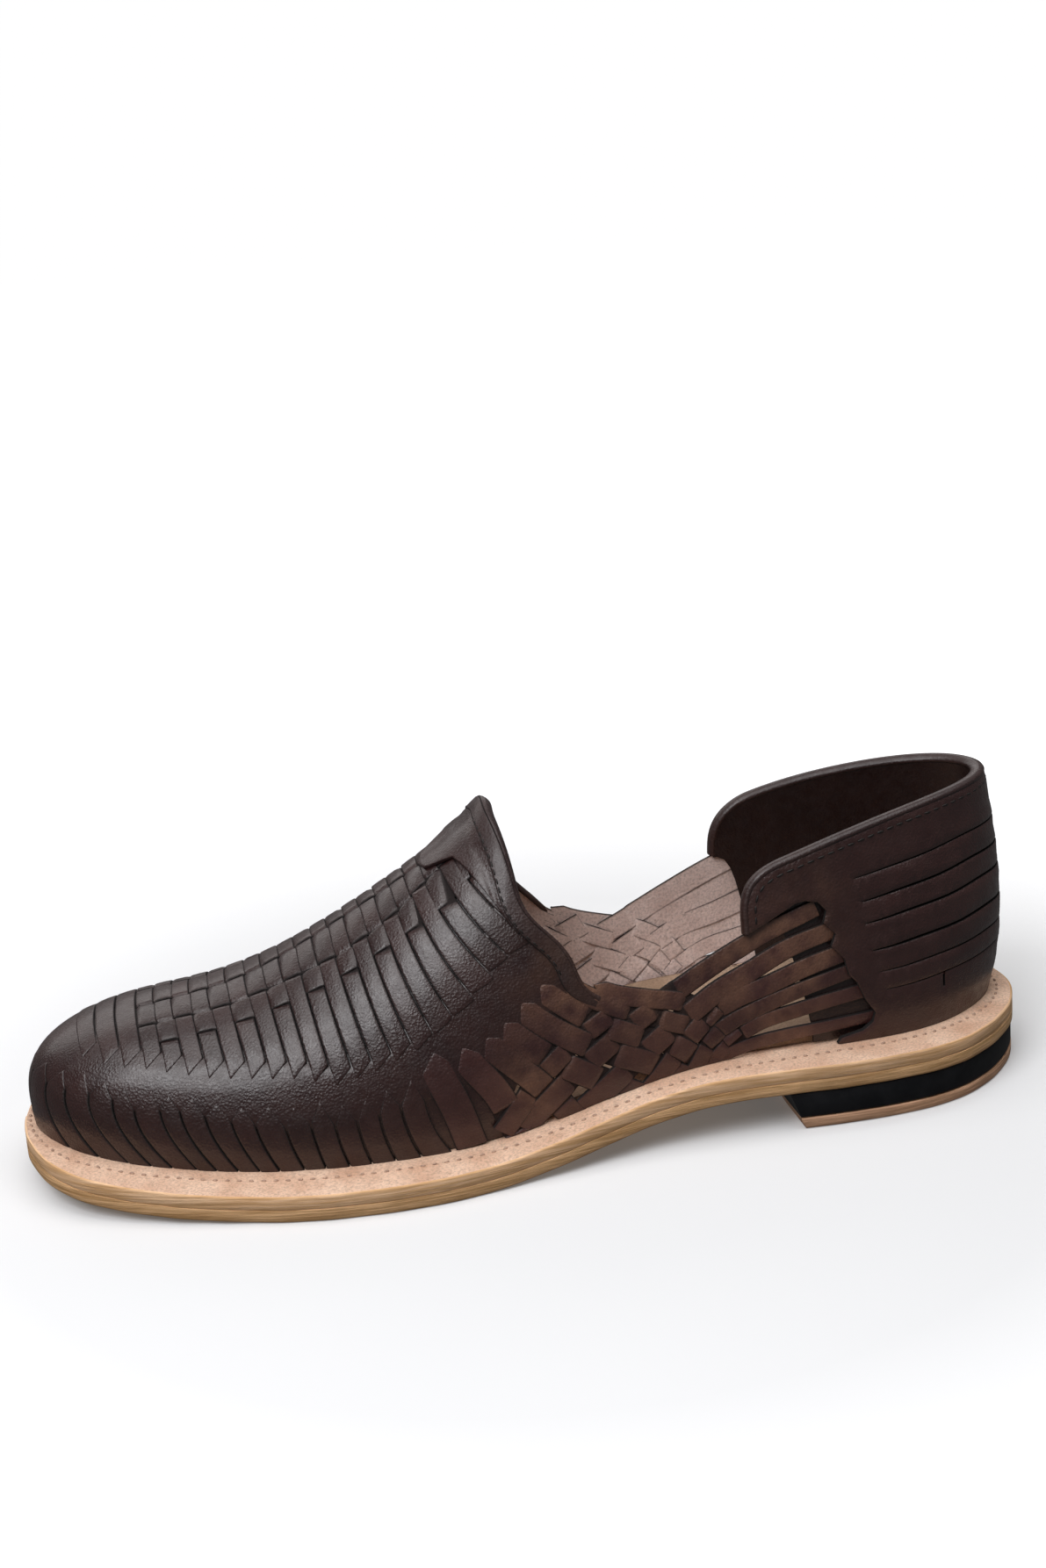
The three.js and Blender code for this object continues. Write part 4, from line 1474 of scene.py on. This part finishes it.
def frames(path):
    """Normals of the last along a path and the directions that lie in the leather across it."""
    normals = np.array([nearest(p)[1] for p in path])
    way = np.gradient(path, axis=0)
    way /= np.linalg.norm(way, axis=1, keepdims=True)
    across = np.cross(way, normals)
    return normals, across / np.linalg.norm(across, axis=1, keepdims=True)


def resampled(path, step):
    """A path cut into even steps, and the distance of each point from its start."""
    reach = path_reach(path)
    s = np.linspace(0, reach[-1], int(reach[-1] / step) + 1)
    return np.stack([np.interp(s, reach, path[:, k]) for k in range(3)], -1), s


def smoothed(path, rounds):
    """A path with its small corners rubbed away, both ends kept."""
    path = path.copy()
    for _ in range(rounds):
        path[1:-1] = (path[:-2] + path[2:] + 2 * path[1:-1]) / 4
    return path


print("folded edges follow a smoothed path on the last")

# %% Folded edge along the throat and the shoulders
BINDING = dark_leather("binding_leather", 0.5, 0.35)
FOLD_THICKNESS = 1.0
FOLD_REACH = 0.75
LOW_LIFT, TAB_RISE = 0.55, 1.05
LOW_WIDTH, FULL_WIDTH_EXTRA = 2.6, 1.9
END_LENGTH = 9
SEAM_INSET = 0.55
SEAM_SKIP = 12


def folded_edge():
    """The fold outside, the round edge over it, and the line of its seam."""
    bundle = Bundle()
    whole = np.concatenate([throat_line(-1)[::-1], throat_line(1)[1:]])
    path, s = resampled(whole, 1.0)
    path = smoothed(path, 6)
    normals, across = frames(path)
    across = across * (1 if across[len(path) // 2][0] > 0 else -1)
    # At the waist the fold thins out and dives under the bands; on the tab it lies higher
    ends = ramp(np.minimum(s, s[-1] - s), 0, END_LENGTH)
    lift = LOW_LIFT + TAB_RISE * ramp(path[:, 2], 54, 64)
    width = LOW_WIDTH + FULL_WIDTH_EXTRA * ends
    outer_edge = path + across * width[:, None]
    strip(bundle, path + across * 0.2, outer_edge, lift * (0.4 + 0.6 * ends), thickness=FOLD_THICKNESS)
    middle = path + normals * ((lift - 1.9) / 2 * ends)[:, None]
    height = 0.45 + ((lift + 1.75) / 2 - 0.45) * ends
    bead(bundle, middle, normals, across, height, FOLD_REACH)
    bundle.build("throat_binding", [BINDING, FLESH])
    seam_line = outer_edge - across * SEAM_INSET + normals * (lift + 0.02)[:, None]
    return seam_line[SEAM_SKIP:-SEAM_SKIP]


throat_seam = folded_edge()

# %% [markdown]
# ## Heel counter
# One stiff piece of leather wraps the heel over the ends of the bands. Six long slits on each
# side let it give; its front edge is cut in scallops, one over each band. It is cut as a panel
# in a chart of the heel, distance round it and height, because a slit that is straight in this
# chart stays level and even on the round heel.

# %% Chart of the heel: distance round it, and height
HEEL_REACH = 5.4
heel_u = np.linspace(-HEEL_REACH, HEEL_REACH, 541)
heel_arc = path_reach(rib(heel_u)[:, :2])
heel_arc -= np.interp(0, heel_u, heel_arc)
CLIMB = np.linspace(0, 1, 161)
SEAT_GAP = 0.1


def heel_chart(distance, z):
    """Place and normal on the last, from a distance round the heel and a height."""
    u = float(np.interp(distance, heel_arc, heel_u))
    wall = last_point(np.full(len(CLIMB), u), CLIMB)
    v = float(np.interp(z, wall[:, 2], CLIMB))
    return last_point(u, v), last_normal(u, v)


def heel_place(side, x, z):
    """Chart coordinates of a side-view point."""
    u, _ = ring_place(from_side(side, x, max(z, bed(x) + SEAT_GAP)))
    u = u - RING if u > LAST_RIB else u
    return float(np.interp(u, heel_u, heel_arc)), max(z, float(bed(x)) + SEAT_GAP)


def heel_over(drop):
    """The heel's topline from the medial flap round the back to the lateral one, a little lower."""
    medial, lateral = [bezier_points(*HEEL_TOPLINES[side], count=16) for side in (-1, 1)]
    back = [heel_place(-1, x, z - drop) for x, z in medial]
    return back + [heel_place(1, x, z - drop) for x, z in lateral[::-1]]


def heel_under(start, gap, count):
    """The feather line round the heel, from the lateral side to the medial one."""
    rows = []
    for s in np.linspace(start, -start, count):
        x = float(rib(np.interp(s, heel_arc, heel_u))[X])
        rows.append((s, float(bed(x)) + gap))
    return rows


print("the heel is", round(float(heel_arc[-1] - heel_arc[0]), 1), "mm round")

# %% Counter with slits
COUNTER_FRONT = [(67, 57.9), (64.5, 58.3), (61, 57.5), (58.8, 54.9), (59.8, 51.7), (56.7, 48.4),
                 (58, 45.2), (54.6, 41.3), (53.5, 36.7), (51.5, 34.5), (49, 28.8), (46.5, 25.2),
                 (47.2, 22.6), (50, 20.6), (56, 19.4), (57, 17.8)]
# Each slit: where it starts in front, where it turns round the back, and half its width
SLITS = [((50.8, 61.8), (14.5, 68.3), 0.17), ((48.9, 55.4), (13.2, 61.4), 0.29),
         ((48.1, 49.6), (11.5, 54.9), 0.30), ((46.9, 42.1), (10.8, 46.3), 0.33),
         ((44.7, 36.1), (11, 39.2), 0.15), ((43.1, 30.9), (10, 33.6), 0.10)]
# A short cut across the lowest slits
SNICK = [(26.0, 28.2), (26.6, 28.2), (26.65, 32.2), (26.05, 32.2)]
BACK_FALL = 1.2
SMOOTH_REACH = 7
SLIT_TAPER = 12
COUNTER_LIFT, COUNTER_THICKNESS = 1.72, 1.45


def slit_hole(front, rear, width, number):
    """A slit from the front on one side round the back to the front on the other."""
    start, z0 = heel_place(1, *front)
    turn, z1 = heel_place(1, *rear)
    s = np.linspace(start, heel_place(-1, *front)[0], 90)
    rise = np.interp(np.abs(s), [0, turn, start], [z1 - BACK_FALL, z1, z0])
    window = np.full(2 * SMOOTH_REACH + 1, 1 / (2 * SMOOTH_REACH + 1))
    rise = np.convolve(np.pad(rise, SMOOTH_REACH, "edge"), window, "valid")
    rise = rise + 0.1 * np.sin(s * 0.3 + number)
    taper = np.minimum(1, np.sqrt(np.minimum(s[0] - s, s - s[-1]) / SLIT_TAPER))
    half = width * taper + 0.02
    upper = np.column_stack([s, rise + half])
    return np.concatenate([upper, np.column_stack([s, rise - half])[::-1]])


def counter_lift(points):
    """The counter swells a little between the slits, as damp leather does when it dries."""
    swell = 0.1 * np.sin(points[:, 1] * 0.75 + 0.6)
    return COUNTER_LIFT + swell * ramp(-np.abs(points[:, 0]), -62, -40)


def counter():
    """The counter's outline: scalloped front, feather line, the other front, topline."""
    front = [heel_place(1, x, z) for x, z in COUNTER_FRONT]
    medial = [heel_place(-1, x, z) for x, z in COUNTER_FRONT[::-1]]
    bottom = heel_under(front[-1][0], 0.1, 120)[1:-1]
    holes = [slit_hole(*slit, number) for number, slit in enumerate(SLITS)]
    holes.append([heel_place(1, x, z) for x, z in SNICK])
    bundle = Bundle()
    panel(bundle, front + bottom + medial + heel_over(0.4), heel_chart, counter_lift, holes,
          thickness=COUNTER_THICKNESS, grid=2.6, drop=0.28)
    return bundle.build("counter_leather", [COUNTER, FLESH], ("heel_counter",))


counter()

# %% [markdown]
# ## Lining and bead of the heel
# A thin lining stands behind the counter and reaches further forward, so that the foot never
# rubs on the slits. A bead folds over both at the top. It is a tube with an oval section that
# follows the topline, with a seam below it.

# %% Lining
LINING_FRONT = [(74, 54), (71.9, 53), (70, 50), (68.6, 46), (66.5, 37.5), (64.6, 29.3), (63, 20)]
LINING_LIFT, LINING_THICKNESS = -0.85, 0.9


def lining():
    """A smooth thin sheet of the counter's shape, longer in front."""
    front = [heel_place(1, x, z) for x, z in LINING_FRONT]
    medial = [heel_place(-1, x, z) for x, z in LINING_FRONT[::-1]]
    bottom = heel_under(front[-1][0], 0.4, 80)
    bundle = Bundle()
    panel(bundle, front + bottom + medial + heel_over(0.6), heel_chart, LINING_LIFT,
          thickness=LINING_THICKNESS, step=1.4, grid=3.4)
    return bundle.build("heel_lining", [LINING, LINING])


lining()

# %% Bead
BEAD_HEIGHT, BEAD_REACH = 1.95, 1.15
BEAD_STEP = 1.1


def heel_bead():
    """The fold over the top of counter and lining, and the line of the seam below it."""
    path, _ = resampled(np.array([heel_chart(*p)[0] for p in heel_over(0)]), BEAD_STEP)
    path = smoothed(path, 5)
    normals, across = frames(path)
    bundle = Bundle()
    bead(bundle, path + normals * 0.05, normals, across, BEAD_HEIGHT, BEAD_REACH)
    bundle.build("heel_bead", [BINDING, FLESH])
    down = across * (1 if across[len(path) // 2][2] < 0 else -1)
    seam_line = path + down * 2.5 + normals * 1.76
    return seam_line[3:-3]


heel_seam = heel_bead()

# %% [markdown]
# ## Stitches
# Hundreds of stitches are alike, so one Geometry Nodes tree makes every seam. It cuts a seam line
# into even steps and sets a small rounded stitch on each step, turned along the line. Pitch,
# length, thickness, scatter and seed are its inputs, in metres where they are lengths. The tree
# ends in plain mesh with its material, because instances would be lost in the exported model.

# %% Stitch tree
STITCH_INPUTS = (("Pitch", "Float", 0.0026), ("Length", "Float", 0.0017), ("Thickness", "Float", 0.0006),
                 ("Scatter", "Float", 0.1), ("Seed", "Int", 3), ("Material", "Material", None))


def stitch_tree():
    """Line to curve, even steps, one stitch on each, turned and a little scattered."""
    tree = bpy.data.node_groups.new("stitch_row", "GeometryNodeTree")
    face = tree.interface
    face.new_socket("Geometry", in_out="INPUT", socket_type="NodeSocketGeometry")
    for name, kind, value in STITCH_INPUTS:
        socket = face.new_socket(name, in_out="INPUT", socket_type="NodeSocket" + kind)
        if value is not None:
            socket.default_value = value
    face.new_socket("Geometry", in_out="OUTPUT", socket_type="NodeSocketGeometry")

    def node(kind, **settings):
        return add_node(tree, kind, **settings)

    start, end = node("NodeGroupInput"), node("NodeGroupOutput")
    curve = node("GeometryNodeMeshToCurve")
    steps = node("GeometryNodeResampleCurve", mode="LENGTH")
    direction = node("GeometryNodeInputTangent")
    turn = node("FunctionNodeAlignRotationToVector", axis="Z")
    wobble = node("FunctionNodeRandomValue", data_type="FLOAT_VECTOR")
    low = node("ShaderNodeVectorMath", operation="SCALE")
    low.inputs[0].default_value = (-1, -1, -1)
    high = node("ShaderNodeVectorMath", operation="SCALE")
    high.inputs[0].default_value = (1, 1, 1)
    spin = node("FunctionNodeRotateRotation", rotation_space="LOCAL")
    ball = node("GeometryNodeMeshUVSphere", Segments=8, Rings=6, Radius=0.5)
    size = node("ShaderNodeCombineXYZ")
    shape = node("GeometryNodeTransform")
    copies = node("GeometryNodeInstanceOnPoints")
    real = node("GeometryNodeRealizeInstances")
    smooth = node("GeometryNodeSetShadeSmooth")
    paint = node("GeometryNodeSetMaterial")
    join = tree.links.new
    join(start.outputs["Geometry"], curve.inputs[0])
    join(curve.outputs[0], steps.inputs["Curve"])
    join(start.outputs["Pitch"], steps.inputs["Length"])
    join(direction.outputs[0], turn.inputs["Vector"])
    join(start.outputs["Scatter"], low.inputs["Scale"])
    join(start.outputs["Scatter"], high.inputs["Scale"])
    join(low.outputs[0], wobble.inputs["Min"])
    join(high.outputs[0], wobble.inputs["Max"])
    join(start.outputs["Seed"], wobble.inputs["Seed"])
    join(turn.outputs[0], spin.inputs["Rotation"])
    join(wobble.outputs["Value"], spin.inputs["Rotate By"])
    join(start.outputs["Thickness"], size.inputs["X"])
    join(start.outputs["Thickness"], size.inputs["Y"])
    join(start.outputs["Length"], size.inputs["Z"])
    join(ball.outputs["Mesh"], shape.inputs["Geometry"])
    join(size.outputs[0], shape.inputs["Scale"])
    join(steps.outputs[0], copies.inputs["Points"])
    join(shape.outputs[0], copies.inputs["Instance"])
    join(spin.outputs[0], copies.inputs["Rotation"])
    join(copies.outputs[0], real.inputs[0])
    join(real.outputs[0], smooth.inputs["Geometry"])
    join(smooth.outputs[0], paint.inputs["Geometry"])
    join(start.outputs["Material"], paint.inputs["Material"])
    join(paint.outputs[0], end.inputs[0])
    return tree


STITCH_TREE = stitch_tree()
print("the stitch tree has", len(STITCH_TREE.nodes), "nodes")

# %% Seams
def seam(name, points, slot, closed=False, **values):
    """Stitches along a line of points, as one plain mesh. values are the tree's inputs by name."""
    count = len(points)
    path = bpy.data.meshes.new(name + "_path")
    edges = [(k, (k + 1) % count) for k in range(count if closed else count - 1)]
    path.from_pydata(((np.asarray(points) - SHIFT) / 1000).tolist(), edges, [])
    holder = bpy.data.objects.new(name + "_path", path)
    bpy.context.scene.collection.objects.link(holder)
    modifier = holder.modifiers.new("stitches", "NODES")
    modifier.node_group = STITCH_TREE
    for item in STITCH_TREE.interface.items_tree:
        if item.in_out == "INPUT" and item.name in values:
            modifier[item.identifier] = values[item.name]
    bpy.context.view_layer.update()
    ready = holder.evaluated_get(bpy.context.evaluated_depsgraph_get())
    mesh = bpy.data.meshes.new_from_object(ready)
    mesh.name = name
    bpy.data.objects.remove(holder)
    bpy.data.meshes.remove(path)
    piece = bpy.data.objects.new(name, mesh)
    bpy.context.scene.collection.objects.link(piece)
    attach(piece, "root")
    print(name, "has", len(mesh.polygons), "faces")
    return piece


# %% Welt, throat and heel seams
WELT_PLACE, WELT_FARTHEST = 0.5, 5.2
welt_u = np.linspace(0, RING, 900, endpoint=False)
feather = rib(welt_u)
welt_step = np.minimum(feather[:, FLANGE] * WELT_PLACE, WELT_FARTHEST)
welt = feather[:, :2] + outward(welt_u)[:, :2] * welt_step[:, None]
welt = np.column_stack([welt, bed(welt[:, 0]) + 0.05])
seam("welt_seam", welt, "flange_leather", closed=True,
     Pitch=0.0031, Length=0.0014, Thickness=0.0008, Scatter=0.3, Material=PALE_THREAD)
seam("throat_seam", throat_seam, "dark_leather",
     Pitch=0.0024, Length=0.0018, Thickness=0.0005, Scatter=0.06, Material=DARK_THREAD)
seam("heel_seam", heel_seam, "dark_leather",
     Pitch=0.0029, Length=0.0021, Thickness=0.0006, Scatter=0.06, Material=DARK_THREAD)

# %% [markdown]
# ## Floor and light
# A white room, as in a small product studio. One big soft box high above gives the even light, a
# small strong one in front of the toe gives the long shine on the strips, and one behind draws
# the ridge. The floor is a little brighter than its light makes it, so the shadows stay soft.
# Floor and wall are left out of reflections and of bounced light, because a real leather shoe
# in a studio stands between dark flags that keep its sides deep.

# %% Floor and wall
WALL = 3.0
WALL_STEPS = 48
WHITE = (1, 1, 1, 1)
FLOOR_DROP = 0.0001


def stage_mesh(name, points, faces, material, lit):
    """A piece of the set. Only the floor takes shadows; neither piece mirrors in the leather."""
    mesh = bpy.data.meshes.new(name)
    mesh.from_pydata(points, [], faces)
    mesh.materials.append(material)
    piece = bpy.data.objects.new(name, mesh)
    bpy.context.scene.collection.objects.link(piece)
    piece.visible_glossy = False
    piece.visible_diffuse = False
    piece.visible_shadow = lit


def floor():
    """Pale near the shoe, where the shadows lie, and pure white further out."""
    material, tree, shader = new_material("floor", 0.6)
    shader.inputs["Base Color"].default_value = (0.80, 0.80, 0.81, 1)
    shader.inputs["Specular IOR Level"].default_value = 0.0
    shader.inputs["Emission Color"].default_value = WHITE
    place = add_node(tree, "ShaderNodeTexCoord")
    reach = add_node(tree, "ShaderNodeVectorMath", operation="LENGTH")
    tree.links.new(place.outputs["Object"], reach.inputs[0])
    glow = mapped(tree, reach.outputs["Value"], 0.08, 0.95, 0.15, 0.5)
    tree.links.new(glow, shader.inputs["Emission Strength"])
    corners = [(x * WALL, y * WALL, -FLOOR_DROP) for x, y in ((-1, -1), (1, -1), (1, 1), (-1, 1))]
    stage_mesh("floor", corners, [[0, 1, 2, 3]], material, True)


def wall():
    """A round white wall behind everything, for views from low down."""
    material, _, shader = new_material("wall", 1.0)
    shader.inputs["Base Color"].default_value = (0, 0, 0, 1)
    shader.inputs["Emission Color"].default_value = WHITE
    shader.inputs["Emission Strength"].default_value = 1.0
    turns = [2 * math.pi * k / WALL_STEPS for k in range(WALL_STEPS)]
    points = [(WALL * math.cos(a), WALL * math.sin(a), z) for z in (-0.01, WALL) for a in turns]
    faces = []
    for k in range(WALL_STEPS):
        n = (k + 1) % WALL_STEPS
        faces.append([n, k, k + WALL_STEPS, n + WALL_STEPS])
    stage_mesh("wall", points, faces, material, False)


floor()
wall()
print("floor and wall are", 2 * WALL, "m across")

# %% Soft boxes and sky
def soft_box(name, place, target, size, power, tint=(1, 1, 1)):
    """A soft rectangular light at a place, turned to a target, with its power in watts."""
    lamp = bpy.data.lights.new(name, "AREA")
    lamp.shape = "RECTANGLE"
    lamp.size, lamp.size_y = size
    lamp.energy = power
    lamp.color = tint
    holder = bpy.data.objects.new(name, lamp)
    holder.location = place
    holder.rotation_euler = (Vector(target) - Vector(place)).to_track_quat("-Z", "Y").to_euler()
    bpy.context.scene.collection.objects.link(holder)


soft_box("key", (0.50, 0.58, 0.86), (0.02, 0.0, 0.04), (0.62, 0.5), 6.5, (0.97, 0.98, 1.0))
soft_box("top", (0.0, 0.1, 1.35), (0.0, 0.0, 0.03), (1.7, 1.2), 13.3)
soft_box("back", (0.2, -1.25, 0.68), (0.0, 0.0, 0.05), (1.9, 0.55), 4.4, (1.0, 0.97, 0.95))
SKY_STRENGTH = 0.13
world = bpy.data.worlds.new("studio")
world.use_nodes = True
world.node_tree.nodes["Background"].inputs["Color"].default_value = WHITE
world.node_tree.nodes["Background"].inputs["Strength"].default_value = SKY_STRENGTH
bpy.context.scene.world = world
bpy.context.scene.view_settings.view_transform = "Standard"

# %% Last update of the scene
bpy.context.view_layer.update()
